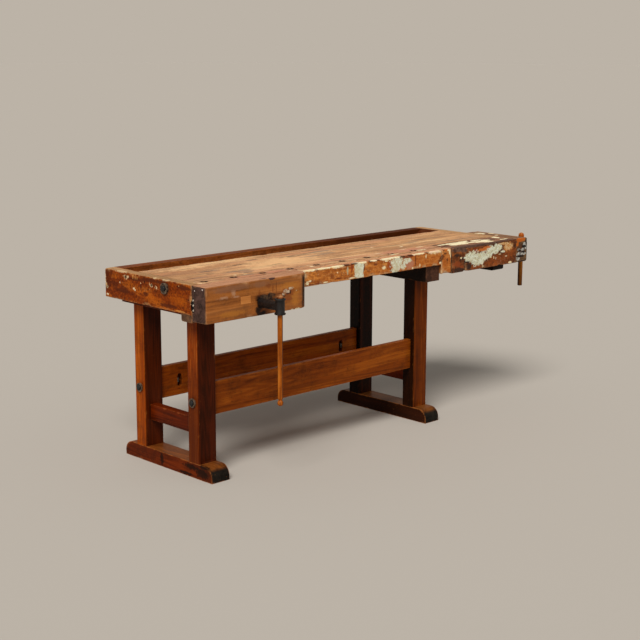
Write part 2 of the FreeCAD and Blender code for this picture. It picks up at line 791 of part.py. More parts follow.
for x in guide_places:
    guide_bars.append(rod(Vector(x, guide_start, front_screw_z), along_y,
                          guide_end - guide_start, front_guide_diameter))
chop_cuts = [collar_pocket, inlay, plate_pocket] + plate_holes + guide_bars
chop_cuts.append(hole_y(front_screw_x, front_screw_z, chop_front, chop_rear,
                        front_screw_diameter + 2 * running_clearance))
keep("front_vise_chop", chop.cut(chop_cuts))
keep("chop_inlay", inlay)
keep("front_guide_plate", guide_plate.cut(plate_holes))
keep("guide_plate_screws", plate_screws)
keep("front_guide_bars", guide_bars)


# Screw head: an upright barrel with a flange at each end and a hole for the handle
def hub(centre, handle_diameter):
    half = hub_height / 2
    base = centre - along_z * half
    barrel = rod(base, along_z, hub_height, hub_diameter)
    lower = round_head(base + along_z * hub_flange_height, along_z * -1,
                       hub_flange_diameter, hub_flange_height, hub_flange_height / 2)
    upper = round_head(base + along_z * (hub_height - hub_flange_height), along_z,
                       hub_flange_diameter, hub_flange_height, hub_flange_height / 2)
    hole = rod(base - along_z * cutter_overrun, along_z, hub_height + 2 * cutter_overrun,
               handle_diameter + 2 * handle_fit)
    return barrel.fuse([lower, upper]), hole


# Vise screw: shank, neck and hub in one, with a cross hole for the collar's pin
def vise_screw(centre, inward, neck_length, shank_length, shank_diameter, handle_diameter, pin_at):
    barrel, hole = hub(centre, handle_diameter)
    neck = rod(centre, inward, neck_length - face_gap, neck_diameter)
    shank = rod(centre, inward, neck_length + shank_length, shank_diameter)
    solid = barrel.fuse([neck, shank]).removeSplitter()
    pin_hole = rod(pin_at - along_z * shank_diameter, along_z, 2 * shank_diameter, collar_pin_diameter)
    return solid.cut([hole, pin_hole])


def collar_set(centre, direction, shank_diameter):
    outer = shank_diameter + 2 * collar_wall
    start = centre - direction * (collar_width / 2)
    body = ring(start, direction, collar_width, outer, shank_diameter)
    pin = rod(centre - along_z * (outer / 2), along_z, outer, collar_pin_diameter)
    return body.cut(pin), pin.common(rod(start, direction, collar_width, outer))


front_hub = Vector(front_screw_x, front_hub_y, front_screw_z)
front_collar_centre = Vector(front_screw_x, collar_y + collar_width / 2, front_screw_z)
front_shank = front_screw_end - chop_front
keep("front_vise_screw", vise_screw(front_hub, along_y, front_neck_length, front_shank,
                                    front_screw_diameter, front_handle_diameter, front_collar_centre))
front_collar, front_pin = collar_set(front_collar_centre, along_y, front_screw_diameter)
keep("front_screw_collar", front_collar)
keep("front_collar_pin", front_pin)


# Turned handle: a bar through the hub with a cap on top, and a knob below where it has one
def handle_cap(centre, diameter, height):
    base = centre + along_z * (hub_height / 2 + face_gap)
    cap = round_head(base, along_z, handle_knob_diameter, height, knob_round)
    return cap.cut(rod(base, along_z, height / 2, diameter))


def handle_bar(centre, diameter, total, cap_height, knobbed):
    base_z = centre.z + hub_height / 2 + face_gap
    low = base_z + cap_height - total
    foot_point = Vector(centre.x, centre.y, low)
    bar_top = base_z + cap_height / 2
    if not knobbed:
        bar = rod(foot_point, along_z, bar_top - low, diameter)
        rim = [edge for edge in bar.Edges if edge.Curve.TypeId == "Part::GeomCircle"
               and edge.CenterOfMass.z < centre.z]
        return bar.makeFillet(handle_round, rim)
    knob = Part.makeSphere(end_knob_diameter / 2, foot_point + along_z * (end_knob_diameter / 2))
    neck = rod(foot_point + along_z * (end_knob_diameter / 2), along_z,
               end_knob_diameter / 2 + end_knob_neck_height, end_knob_neck)
    bar_start = foot_point + along_z * (end_knob_diameter + end_knob_neck_height / 2)
    bar = rod(bar_start, along_z, bar_top - bar_start.z, diameter)
    return bar.fuse([knob, neck]).removeSplitter()


keep("front_vise_handle", handle_bar(front_hub, front_handle_diameter, front_handle_length,
                                     front_knob_height, True))
keep("front_handle_cap", handle_cap(front_hub, front_handle_diameter, front_knob_height))

# Tail vise, fixed side: jaw, guide strip and the bar that carries the sliding arm
fixed_jaw = block(fixed_jaw_x, 0, top_underside - fixed_jaw_drop, jaw_x, dog_strip_front, bench_height)
fixed_jaw = soften(fixed_jaw, fixed_jaw_round, along_z,
                   lambda middle: middle.x > fixed_jaw_x and middle.y < dog_strip_front)
fixed_jaw = soften(fixed_jaw, worn_arris, along_x, lambda middle: middle.y < dog_strip_front)
jaw_heel = block(fixed_jaw_x, dog_strip_front, top_underside - fixed_jaw_drop,
                 jaw_x, tail_notch_y, top_underside)
right_post_side = trestle_spacing + post_width
jaw_side_cut = block(trestle_spacing, 0, post_top, right_post_side, foot_length, top_underside)
keep("tail_fixed_jaw", fixed_jaw.fuse(jaw_heel).removeSplitter().cut(jaw_side_cut))

strip_z = tail_underside + tail_strip_rise
guide_strip = block(jaw_x + tail_strip_clear, tail_notch_y - tail_strip_depth, strip_z,
                    top_length - tail_strip_clear, tail_notch_y, strip_z + tail_strip_height)
keep("tail_guide_strip", guide_strip)

support = block(support_x, support_bar_front, tail_underside - slide_gap - support_bar_drop,
                support_x + support_bar_width, support_bar_rear, top_underside)
support = soften(support, support_bar_round, along_x,
                 lambda middle: middle.y < tail_notch_y and middle.z < tail_underside)
arm_clearance = block(support_x - cutter_overrun, 0, tail_underside - slide_gap,
                      support_x + support_bar_width + cutter_overrun, tail_notch_y, top_underside)
support_bore = hole_x(tail_guide_y, tail_guide_z, support_x, support_x + support_bar_width,
                      tail_guide_diameter + 2 * running_clearance)
support_underside = tail_underside - slide_gap - support_bar_drop
support_screws = []
support_cuts = []
for y in (tail_notch_y + support_screw_inset, support_bar_rear - support_screw_inset):
    solid, cuts = coach_screw(support_x + support_bar_width / 2, y, support_underside,
                              support_screw_recess, support_screw_length)
    support_screws.append(solid)
    support_cuts += cuts
keep("support_bar_screws", support_screws)
keep("tail_support_bar", support.cut([arm_clearance, support_bore] + support_cuts))
keep("worktop_slab", slab.cut(slab_cuts + peg_cutters + coach_cuts + support_cuts))

# Tail vise, sliding arm: jaw block, cheek, cover and cross piece
dog_x = tail_x + tail_dog_inset
tail_dog = block(dog_x - dog_hole_length / 2, strip_rear - dog_hole_width, tail_underside - cutter_overrun,
                 dog_x + dog_hole_length / 2, strip_rear, bench_height + cutter_overrun)
strip_groove = block(tail_x - cutter_overrun, tail_notch_y - tail_strip_depth - slide_gap,
                     strip_z - slide_gap, tail_jaw_end + cutter_overrun,
                     tail_notch_y, strip_z + tail_strip_height + slide_gap)
tail_jaw = block(tail_x, 0, tail_underside, tail_jaw_end, tail_width, bench_height)
tail_jaw = soften(tail_jaw, tail_jaw_round, along_z,
                  lambda middle: middle.x < tail_jaw_end and middle.y < tail_width)
tail_jaw = soften(tail_jaw, worn_arris, along_x, lambda middle: middle.y < tail_width)
keep("tail_vise_jaw", tail_jaw.cut([tail_dog, strip_groove]))

cheek = block(tail_jaw_end, 0, tail_underside, cross_x, cheek_rear, bench_height)
cheek = soften(cheek, worn_arris, along_x, lambda middle: middle.y < cheek_rear)
cheek_tenon = block(cross_x, cheek_tenon_shoulder, tail_underside + cheek_tenon_shoulder,
                    cross_x + cheek_tenon_length, cheek_rear - cheek_tenon_shoulder,
                    bench_height - cheek_tenon_shoulder)
keep("tail_vise_cheek", cheek.fuse(cheek_tenon).removeSplitter())
keep("tail_vise_cover", block(tail_jaw_end, cheek_rear, cover_underside, cross_x, tail_width, bench_height))

tail_collar_x = cross_x + collar_pocket_gap
tail_collar_centre = Vector(tail_collar_x + collar_width / 2, tail_screw_back, tail_screw_z)
tail_collar_diameter = tail_screw_diameter + 2 * collar_wall
tail_pocket = rod(Vector(cross_x - cutter_overrun, tail_screw_back, tail_screw_z), along_x,
                  collar_width + 2 * collar_pocket_gap + cutter_overrun,
                  tail_collar_diameter + 2 * bore_clearance)
guide_x = cross_x + tail_guide_bury
tail_guide = rod(Vector(guide_x - tail_guide_length, tail_guide_y, tail_guide_z), along_x,
                 tail_guide_length, tail_guide_diameter)
cross = block(cross_x, 0, tail_underside, cross_outer_x, tail_cross_depth, bench_height)
cross = soften(cross, tail_cross_round, along_y, lambda middle: middle.x > cross_x)
cross = soften(cross, worn_arris, along_x, lambda middle: middle.y < tail_screw_back)
cross_bore = hole_x(tail_screw_back, tail_screw_z, cross_x, cross_outer_x,
                    tail_screw_diameter + 2 * running_clearance)
keep("tail_cross_piece", cross.cut([cheek_tenon, tail_pocket, tail_guide, cross_bore]))
keep("tail_guide_bar", tail_guide)

tail_hub = Vector(tail_hub_x, tail_screw_back, tail_screw_z)
tail_shank = cross_outer_x - tail_screw_end
keep("tail_vise_screw", vise_screw(tail_hub, along_x * -1, tail_neck_length, tail_shank,
                                   tail_screw_diameter, tail_handle_diameter, tail_collar_centre))
tail_collar, tail_pin = collar_set(tail_collar_centre, along_x, tail_screw_diameter)
keep("tail_screw_collar", tail_collar)
keep("tail_collar_pin", tail_pin)
keep("tail_vise_handle", handle_bar(tail_hub, tail_handle_diameter, tail_handle_length,
                                    tail_knob_height, False))
keep("tail_handle_cap", handle_cap(tail_hub, tail_handle_diameter, tail_knob_height))

# Move everything to the part's own frame and write one file for each node
os.makedirs("parts", exist_ok=True)
for name, solids in nodes.items():
    pieces = []
    for solid in solids:
        moved = solid.copy()
        moved.translate(origin * -1)
        pieces += moved.Solids
    shape = pieces[0] if len(pieces) == 1 else Part.makeCompound(pieces)
    volume = sum(piece.Volume for piece in pieces)
    if volume <= 0 or not shape.isValid():
        raise ValueError("bad solid: " + name)
    shape.exportStep("parts/" + name + ".step")
    print(name, len(pieces), round(volume))
print("origin", origin)
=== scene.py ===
import bmesh
import bpy
import json
import math
from mathutils import Matrix, Vector, noise


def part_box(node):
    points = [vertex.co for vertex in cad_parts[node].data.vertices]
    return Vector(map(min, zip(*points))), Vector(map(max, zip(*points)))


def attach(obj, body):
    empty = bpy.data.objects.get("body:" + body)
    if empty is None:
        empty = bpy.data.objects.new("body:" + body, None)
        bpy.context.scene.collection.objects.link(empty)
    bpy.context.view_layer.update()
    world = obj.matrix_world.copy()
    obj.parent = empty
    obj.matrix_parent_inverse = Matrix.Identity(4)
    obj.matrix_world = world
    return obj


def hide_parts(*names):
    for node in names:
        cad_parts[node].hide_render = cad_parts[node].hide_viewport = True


# Joiner's bench: worn, chipped copies of the wooden pieces, threads on the vise screws,
# turned handles, and procedural finishes for wood, paint and iron
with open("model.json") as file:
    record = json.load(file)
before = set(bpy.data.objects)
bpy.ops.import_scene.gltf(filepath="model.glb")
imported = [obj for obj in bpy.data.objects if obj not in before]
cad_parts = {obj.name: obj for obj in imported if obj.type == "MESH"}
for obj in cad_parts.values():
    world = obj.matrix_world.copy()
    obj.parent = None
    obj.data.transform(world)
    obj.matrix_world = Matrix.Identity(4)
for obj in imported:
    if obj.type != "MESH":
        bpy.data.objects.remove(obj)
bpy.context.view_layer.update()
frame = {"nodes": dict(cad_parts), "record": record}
nodes = frame["nodes"]
bodyOf = {name: body for body, members in frame["record"]["behaviour"]["bodies"].items() for name in members}
mm = 0.001
print("frame loaded:", len(nodes), "nodes")


# Shader maths: a socket that takes Python's arithmetic
class Wire:
    def __init__(self, tree, socket=None):
        self.tree = tree
        self.socket = socket

    def node(self, kind, settings=None, inputs=None, output=0):
        made = self.tree.nodes.new(kind)
        for key, value in (settings or {}).items():
            setattr(made, key, value)
        for key, value in (inputs or {}).items():
            if isinstance(value, Wire):
                self.tree.links.new(value.socket, made.inputs[key])
            else:
                made.inputs[key].default_value = value
        return Wire(self.tree, made.outputs[output])

    def maths(self, operation, *terms):
        return self.node("ShaderNodeMath", {"operation": operation}, dict(enumerate(terms)))

    def vectors(self, operation, *terms, output=0):
        return self.node("ShaderNodeVectorMath", {"operation": operation}, dict(enumerate(terms)), output)

    def __add__(self, other):
        return self.maths("ADD", self, other)

    def __sub__(self, other):
        return self.maths("SUBTRACT", self, other)

    def __rsub__(self, other):
        return self.maths("SUBTRACT", other, self)

    def __mul__(self, other):
        return self.maths("MULTIPLY", self, other)

    def highest(self, other):
        return self.maths("MAXIMUM", self, other)

    def step(self, low, high):
        return self.node("ShaderNodeMapRange", {"interpolation_type": "SMOOTHSTEP"},
                         {"Value": self, "From Min": low, "From Max": high})

    def blend(self, first, second):      # this wire is the factor
        return self.node("ShaderNodeMix", {"data_type": "RGBA"}, {0: self, 6: first, 7: second}, 2)

    def along(self, way):
        return self.vectors("DOT_PRODUCT", self, way, output="Value")

    def away(self, point, size, square):               # distance from a point, in shares of a size
        shares = self.vectors("DIVIDE", self.vectors("SUBTRACT", self, point), size)
        if not square:
            return shares.vectors("LENGTH", shares, output="Value")
        apart = shares.vectors("ABSOLUTE", shares)
        sides = [self.node("ShaderNodeSeparateXYZ", None, {0: apart}, side) for side in range(3)]
        return sides[0].highest(sides[1]).highest(sides[2])

    def speckle(self, scale, detail=3.0, roughness=0.55, warp=0.0):
        return self.node("ShaderNodeTexNoise", None, {"Vector": self, "Scale": scale, "Detail": detail,
                                                      "Roughness": roughness, "Distortion": warp})

    # Noise drawn out along the grain, into fibres and bands
    def grained(self, grain, along, across, *speckle):
        squeeze = tuple(along if share else across for share in grainAxes[grain])
        return self.vectors("MULTIPLY", self, squeeze).speckle(1.0, *speckle)


def tone(colour):                        # screen colour to the shader's linear colour
    return tuple((c / 255 / 12.92) if c < 10.3 else ((c / 255 + 0.055) / 1.055) ** 2.4 for c in colour) + (1.0,)


def startMaterial(name):
    material = bpy.data.materials.new(name)
    material.use_nodes = True
    return material, Wire(material.node_tree), material.node_tree.nodes["Principled BSDF"]


def plug(shader, **sockets):
    for key, value in sockets.items():
        value.tree.links.new(value.socket, shader.inputs[key.replace("_", " ")])


grainAxes = {"x": (1.0, 0.0, 0.0), "y": (0.0, 1.0, 0.0), "z": (0.0, 0.0, 1.0)}

# What a wood and a coat on it are like where their own settings don't say
plainWood = {
    "bandAlong": 1.4, "bandAcross": 26.0, "bandPower": 1.8, "fibrePower": 0.9, "ringPower": 0.13, "streaks": (),
    "fleck": 0.0, "blotchScale": 12.0, "soil": 0.5, "fade": None, "faces": (), "endPower": 0.7, "nicks": 0.45,
    "specks": 0.3, "speckScale": 150.0, "wornPower": 0.7, "coats": (), "coat": 0.04, "shine": 0.15}
plainCoat = {"square": False, "fineness": 26.0, "ragged": 0.9, "sparse": 0.0, "soft": 0.07, "limit": 1.0,
             "holes": 0.0, "second": None, "thick": 0.0}
# The wood's own noises: fineness along and across the grain, or all ways, then detail, roughness and warp
fibreNoise, ringNoise = (9.0, 420.0, 3.0, 0.6), (0.8, 11.0, 2.0, 0.5)
nickNoise, fleckNoise = (60.0, 190.0, 2.0, 0.5), (105.0, 4.0, 0.7)
rubNoise, mottleNoise = (38.0, 4.0, 0.65), (70.0, 3.0, 0.6)
bandNoise, streakNoise = (5.0, 0.6, 0.35), (4.0, 0.62, 0.2)    # these two without the fineness
ringCount = 95.0
coatDuller = 0.1
woodBump = {"Strength": 0.5, "Distance": 1.2 * mm}
coatRoughness = 0.3


# A mask of rough-edged spots: each spot is a centre and a size. Sparse ones are only flecks, and holes are
# chipped through
def spotMask(place, coat, noises):
    mask = None
    for centre, size in coat["spots"]:
        one = 1.0 - place.away(centre, size, coat["square"])
        mask = one if mask is None else mask.highest(one)
    fineness = coat["fineness"]
    if fineness not in noises:
        broad, fine = place.speckle(fineness, 4.0, 0.65), place.speckle(fineness * 5.0, 3.0, 0.6)
        noises[fineness] = broad + fine * 0.7 - 0.85
    field = mask + noises[fineness] * coat["ragged"] - coat["sparse"]
    cover = field.step(0.0, coat["soft"]) * coat["limit"]
    if coat["holes"]:
        pits = place.speckle(fineness * 3.2, 3.0, 0.7).step(0.55, 0.60)
        cover = cover * (1.0 - pits * coat["holes"])
    return cover


def woodFinish(name, settings):
    look = {**plainWood, **settings}
    material, wire, shader = startMaterial(name)
    place = wire.node("ShaderNodeTexCoord", output="Object")
    normal = wire.node("ShaderNodeNewGeometry", output="Normal")
    grain = look["grain"]
    endGrain = wire.maths("ABSOLUTE", normal.along(grainAxes[grain])).step(0.55, 0.85)

    # growth bands, fibres and rings
    bands = place.grained(grain, look["bandAlong"], look["bandAcross"], *bandNoise)
    fibres = place.grained(grain, *fibreNoise)
    ringLines = wire.maths("SINE", place.grained(grain, *ringNoise) * ringCount)
    figure = (bands - 0.5) * look["bandPower"] + (fibres - 0.5) * look["fibrePower"]
    figure = figure + ringLines * look["ringPower"] + 0.5
    colour = figure.step(0.0, 0.5).blend(tone(look["dark"]), tone(look["mid"]))
    colour = figure.step(0.5, 1.0).blend(colour, tone(look["light"]))

    # streaks of other tones, drawn out along the grain
    for streak in look["streaks"]:
        mask = place.grained(grain, streak["along"], streak["across"], *streakNoise)
        mask = mask.step(streak["low"], streak["high"]) * streak["power"]
        colour = mask.blend(colour, tone(streak["colour"]))

    # fine flecks of the old finish, soil, and a slow change from one end to the other, which on the front left post
    # is painted shade towards the bottom
    if look["fleck"]:
        flecks = place.speckle(*fleckNoise)
        colour = (flecks.step(0.5, 0.62) * look["fleck"]).blend(colour, tone(look["dark"]))
        colour = ((1.0 - flecks).step(0.56, 0.66) * look["fleck"]).blend(colour, tone(look["light"]))
    blotches = place.speckle(look["blotchScale"], 5.0, 0.68)
    colour = (blotches.step(0.47, 0.71) * look["soil"]).blend(colour, tone(look["soilColour"]))
    if look["fade"]:
        fade = look["fade"]
        ragged = place.along(fade["way"]) + blotches * fade["ragged"] - fade["ragged"] / 2
        colour = (ragged.step(fade["start"], fade["end"]) * fade["power"]).blend(colour, tone(fade["colour"]))

    # faces that look one way get tones of their own: paler or darker tops, darker leg fronts, and painted shade on
    # sides turned from the light or hidden in joints; then the end grain
    shading = figure.step(0.1, 0.9)
    for face in look["faces"]:
        mask = (normal.along(face["way"]) + blotches * 0.3 - 0.15).step(0.45, 0.8) * face["power"]
        colour = mask.blend(colour, shading.blend(tone(face["dark"]), tone(face["light"])))
    ends = shading.blend(tone(look["endDark"]), tone(look["endLight"]))
    colour = (endGrain * look["endPower"]).blend(colour, ends)

    # short dark nicks and open pores, then pale specks where the finish is gone
    nicks = place.grained(grain, *nickNoise).step(0.62, 0.7)
    colour = (nicks * look["nicks"]).blend(colour, tone(look["soilColour"]))
    specks = place.speckle(look["speckScale"], 2.0, 0.5).step(0.67, 0.71) * blotches.step(0.45, 0.6)
    colour = (specks * look["specks"]).blend(colour, tone(look["worn"]))

    # arrises rubbed down to paler wood
    rubbed = wire.node("ShaderNodeAttribute", {"attribute_name": "wear"}, None, "Fac")
    rubbed = rubbed * place.speckle(*rubNoise).step(0.36, 0.6) * look["wornPower"]
    colour = rubbed.blend(colour, tone(look["worn"]))

    # coats of paint and stain over all that
    height = fibres * 0.35 + bands * 0.3 - nicks * 0.35 - specks * 0.3
    gloss = blotches * 0.22 + (look["rough"] - 0.11)
    mottle = place.speckle(*mottleNoise).step(0.38, 0.62)
    noises = {}
    for coat in look["coats"]:
        cover = spotMask(place, coat, noises)
        shade = tone(coat["colour"])
        if coat["second"]:
            shade = mottle.blend(shade, tone(coat["second"]))
        colour = cover.blend(colour, shade)
        height = height + cover * coat["thick"]
        gloss = gloss + cover * coatDuller
    bump = wire.node("ShaderNodeBump", None, {**woodBump, "Height": height}, "Normal")
    plug(shader, Base_Color=colour, Roughness=gloss, Normal=bump)
    shader.inputs["Coat Weight"].default_value = look["coat"]
    shader.inputs["Coat Roughness"].default_value = coatRoughness
    shader.inputs["Specular IOR Level"].default_value = look["shine"]
    return material


ironBump = {"Strength": 0.35, "Distance": 0.6 * mm}
ironGrit, ironRust = (420.0, 3.0, 0.6), (33.0, 5.0, 0.7, 0.4)      # fineness, detail, roughness and warp


def ironFinish(name, look):
    material, wire, shader = startMaterial(name)
    place = wire.node("ShaderNodeTexCoord", output="Object")
    cloud = place.speckle(look["cloudScale"], 5.0, 0.65)
    grit = place.speckle(*ironGrit)
    rust = place.speckle(*ironRust).step(0.55, 0.7)
    colour = cloud.step(0.38, 0.62).blend(tone(look["dark"]), tone(look["light"]))
    colour = (rust * look["rust"]).blend(colour, tone(look["rustColour"]))
    bump = wire.node("ShaderNodeBump", None, {**ironBump, "Height": grit * 0.6 + cloud * 0.4}, "Normal")
    plug(shader, Base_Color=colour, Roughness=cloud * 0.3 + (look["rough"] - 0.15), Normal=bump,
         Metallic=(1.0 - rust) * look["metal"])
    return material


def floorFinish(name, look):
    material, _, shader = startMaterial(name)
    shader.inputs["Base Color"].default_value = tone(look["floor"])
    shader.inputs["Roughness"].default_value = look["floorRough"]
    shader.inputs["Specular IOR Level"].default_value = look["floorShine"]
    return material


# Levels of the faces that carry paint and stains
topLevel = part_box("worktop_slab")[1].z
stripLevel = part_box("dog_hole_strip")[0].y
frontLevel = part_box("front_edge_board")[0].y
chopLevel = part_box("front_vise_chop")[0].y
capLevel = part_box("end_cap_left")[0].x
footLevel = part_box("foot_left")[0].x
spotDepth = 16 * mm


# Makes the spots on a flat face, in mm: where each lies on the face, then half its size the same two ways
def spotsOn(axis, level):
    def made(*spots):
        placed = []
        for spot in spots:
            centre, size = [at * mm for at in spot[:2]], [half * mm for half in spot[2:]]
            centre.insert(axis, level)
            size.insert(axis, spotDepth)
            placed.append((tuple(centre), tuple(size)))
        return placed
    return made


onCap, onFoot = spotsOn(0, capLevel), spotsOn(0, footLevel)
onFront, onChop = spotsOn(1, frontLevel), spotsOn(1, chopLevel)
onTop = spotsOn(2, topLevel)


def onArris(*spots):                     # x, half width and half height on the front's top arris, in mm
    return [((x * mm, frontLevel + 5 * mm, topLevel - 1 * mm), (wide * mm, 11 * mm, tall * mm))
            for x, wide, tall in spots]


def coat(colour, spots, paint=None, **settings):
    return {**plainCoat, **(paint or {}), "colour": colour, "spots": spots, **settings}


def streak(along, across, low, high, power, colour):
    return {"along": along, "across": across, "low": low, "high": high, "power": power, "colour": colour}


def face(way, power, dark, light):
    return {"way": way, "power": power, "dark": dark, "light": light}


def fade(way, start, end, ragged, power, colour):
    return {"way": way, "start": start, "end": end, "ragged": ragged, "power": power, "colour": colour}


# Paint and stains
mintPaint = dict(second=(218, 210, 172), thick=0.28, ragged=1.8, fineness=62, soft=0.05, holes=0.6)
creamPaint = dict(second=(246, 218, 164), thick=0.4, ragged=1.3, fineness=75, soft=0.06, holes=0.35)
mint, cream, pink = (236, 238, 212), (255, 240, 198), (242, 208, 174)
dirt = dict(limit=0.85, ragged=1.6, fineness=60, soft=0.2)
haze = dict(limit=0.5, ragged=1.3, soft=0.6)
flecks = dict(ragged=3.2, sparse=1.35, fineness=120, soft=0.3)
holesAt = [-998.75 + 156.5 * count for count in range(9)]      # the dog holes, in mm along x

capCoats = [
    coat((70, 26, 8), onCap((385, 775, 35, 65), (340, 758, 30, 30)), limit=0.6, ragged=2.3, fineness=60, soft=0.6),
    coat((190, 92, 10), onCap((79, 732, 80, 22), (-98, 742, 60, 30)), limit=0.4, ragged=2, fineness=60, soft=0.6),
    coat((84, 34, 12), onCap((191, 797, 52, 8), (110, 806, 50, 9), (-130, 803, 50, 10), (20, 806, 50, 7),
         (120, 745, 20, 10), (280, 740, 50, 10), (-30, 715, 60, 8), (154, 772, 10, 12)), dirt),
    coat((64, 42, 28), onCap((-12, 784, 34, 34)), limit=0.75, ragged=0.6, soft=0.5),
    coat((222, 190, 142), onCap((258, 799, 21, 17), (80, 785, 16, 12), (51, 782, 12, 10), (393, 742, 12, 12)),
         limit=0.8, ragged=1.6, sparse=0.35, fineness=150, soft=0.25),
    coat((50, 24, 12), onCap((258, 799, 9, 8), (80, 786, 6, 6), (52, 781, 4, 5), (126, 795, 5, 5), (393, 742, 4, 5),
         (-160, 757, 4, 5)), ragged=0.8, fineness=150, soft=0.3, limit=0.9),
    coat((236, 212, 172), onCap((242, 803, 6, 5), (154, 786, 4, 3), (202, 757, 7, 5), (194, 752, 4, 4),
         (405, 788, 5, 12), (399, 752, 6, 6), (390, 710, 8, 4), (403, 765, 3, 10), (93, 790, 3, 7), (45, 779, 3, 6),
         (-100, 806, 3, 3), (300, 770, 4, 4)), second=(190, 140, 84), ragged=1.5, fineness=210, thick=0.3),
    coat((226, 166, 88), onCap((207, 806, 2.2, 12), (191, 807, 2, 13), (178, 805, 1.8, 9)), limit=0.75, ragged=0.6,
         fineness=90),
    coat((226, 150, 70), onCap((-110, 704, 32, 3.5)), limit=0.6, ragged=1.8, fineness=75, soft=0.2),
    coat((226, 180, 118), onCap((120, 762, 240, 70)), flecks, limit=0.8),
    coat((60, 24, 8), onCap((60, 757, 300, 80)), flecks, fineness=95, limit=0.8),
    # pale worn cream paint along the cap's top arris, partly a painted highlight on it
    coat((248, 226, 178), [((capLevel + 4 * mm, y * mm, topLevel - 2 * mm), (12 * mm, deep * mm, 5 * mm))
                           for y, deep in ((295, 40), (-12, 24), (60, 12))],
         creamPaint, limit=0.42, ragged=2.2),
    # painted shade of the dark slot beside the chop, then a painted glint on a screw head in it
    coat((5, 4, 4), onCap((-183.5, 739, 8.5, 30)), ragged=0.4, fineness=120),
    coat((176, 140, 104), onCap((-175, 742, 2, 3)), ragged=0.5, fineness=210),
]
chopCoats = [
    coat((146, 102, 76), onChop((-950, 802, 140, 18), (-800, 800, 60, 16)), haze),
    coat((196, 124, 44), onChop((-640, 775, 70, 22), (-612, 730, 30, 55), (-960, 700, 90, 16)), haze),
    coat((198, 160, 130), onChop((-946, 782, 16, 18), (-1000, 768, 36, 8), (-935, 766, 26, 6)), limit=0.5, ragged=2,
         fineness=75, soft=0.9),
    coat((96, 48, 16), onChop((-775, 690, 60, 30), (-800, 740, 40, 35)), limit=0.7, ragged=1, soft=0.6),
    # grease and soot round the screw's neck, darkened further by a painted shadow of the hub and neck
    coat((22, 11, 7), onChop((-806, 716, 22, 34), (-815, 694, 22, 26), (-765, 730, 60, 30), (-800, 680, 36, 14),
         (-800, 742, 34, 20)), ragged=0.9, fineness=50, soft=0.6, limit=0.97),
    coat((30, 22, 18), onChop((-768, 745, 50, 14), (-745, 752, 26, 10)), second=(92, 68, 48), ragged=1.8,
         fineness=75, soft=0.45, limit=0.85),
    coat((150, 122, 92), onChop((-768, 748, 45, 10), (-805, 742, 12, 4)), flecks, fineness=95, limit=0.8),
    coat((116, 48, 18), onChop((-735, 775, 6, 26), (-806, 765, 4, 20), (-760, 790, 20, 12), (-700, 735, 12, 20)),
         limit=0.45, ragged=1.4, fineness=60, soft=0.6),
    coat((140, 70, 30), onChop((-650, 752, 40, 20), (-630, 745, 12, 16), (-647, 723, 22, 12)), limit=0.7,
         ragged=1.7, fineness=60, soft=0.25),
    coat((226, 210, 182), onChop((-677, 746, 10, 8), (-655, 753, 22, 8), (-636, 764, 14, 6), (-664, 762, 8, 4)),
         second=(176, 138, 100), ragged=2.2, fineness=95, thick=0.4, holes=0.8, soft=0.3, limit=0.85),
    coat((58, 30, 20), onChop((-638, 748, 5, 8), (-676, 736, 10, 4), (-652, 744, 10, 3)), ragged=1.4, fineness=150,
         limit=0.85),
    coat((110, 52, 22), onChop((-716, 779, 2.2, 35)), limit=0.75, ragged=0.7, fineness=60, soft=0.4),
    coat((238, 218, 178), onChop((-604, 752, 2, 2), (-598, 674.5, 16, 2.6), (-628, 674.5, 8, 2)), ragged=1.9,
         fineness=210),
    coat((66, 44, 44), [((-0.741, chopLevel, topLevel - 0.002), (0.02, 0.014, 0.008)),
         ((-0.775, chopLevel + 0.012, topLevel), (0.026, 0.008, 0.006))], limit=0.9, ragged=1.4, fineness=75,
         soft=0.3),
    # painted shade: the round right-hand corner of the chop, turned from the light
    coat((40, 25, 15), [((-0.527, -0.236, 0.742), (0.05, 0.056, 0.0765))], limit=0.95, ragged=0.14, soft=0.28,
         square=True),
    coat((150, 106, 70), onChop((-574.5, 760, 1.8, 54)), limit=0.6, ragged=0.9, fineness=95, soft=0.3),
    # painted highlight: a thin pale strip down that round corner
    coat((136, 104, 84), [((-0.5475, -0.2577, 0.745), (0.006, 0.01, 0.075))], limit=0.75, ragged=1, fineness=75,
         soft=0.6),
    coat((112, 62, 30), [((-0.556, -0.261, 0.69), (0.014, 0.012, 0.02))], limit=0.8, ragged=1.2, soft=0.5),
    coat((222, 204, 192), onCap((-248, 809, 4, 3), (-200, 800, 2, 4)), ragged=1.2, fineness=210),
]
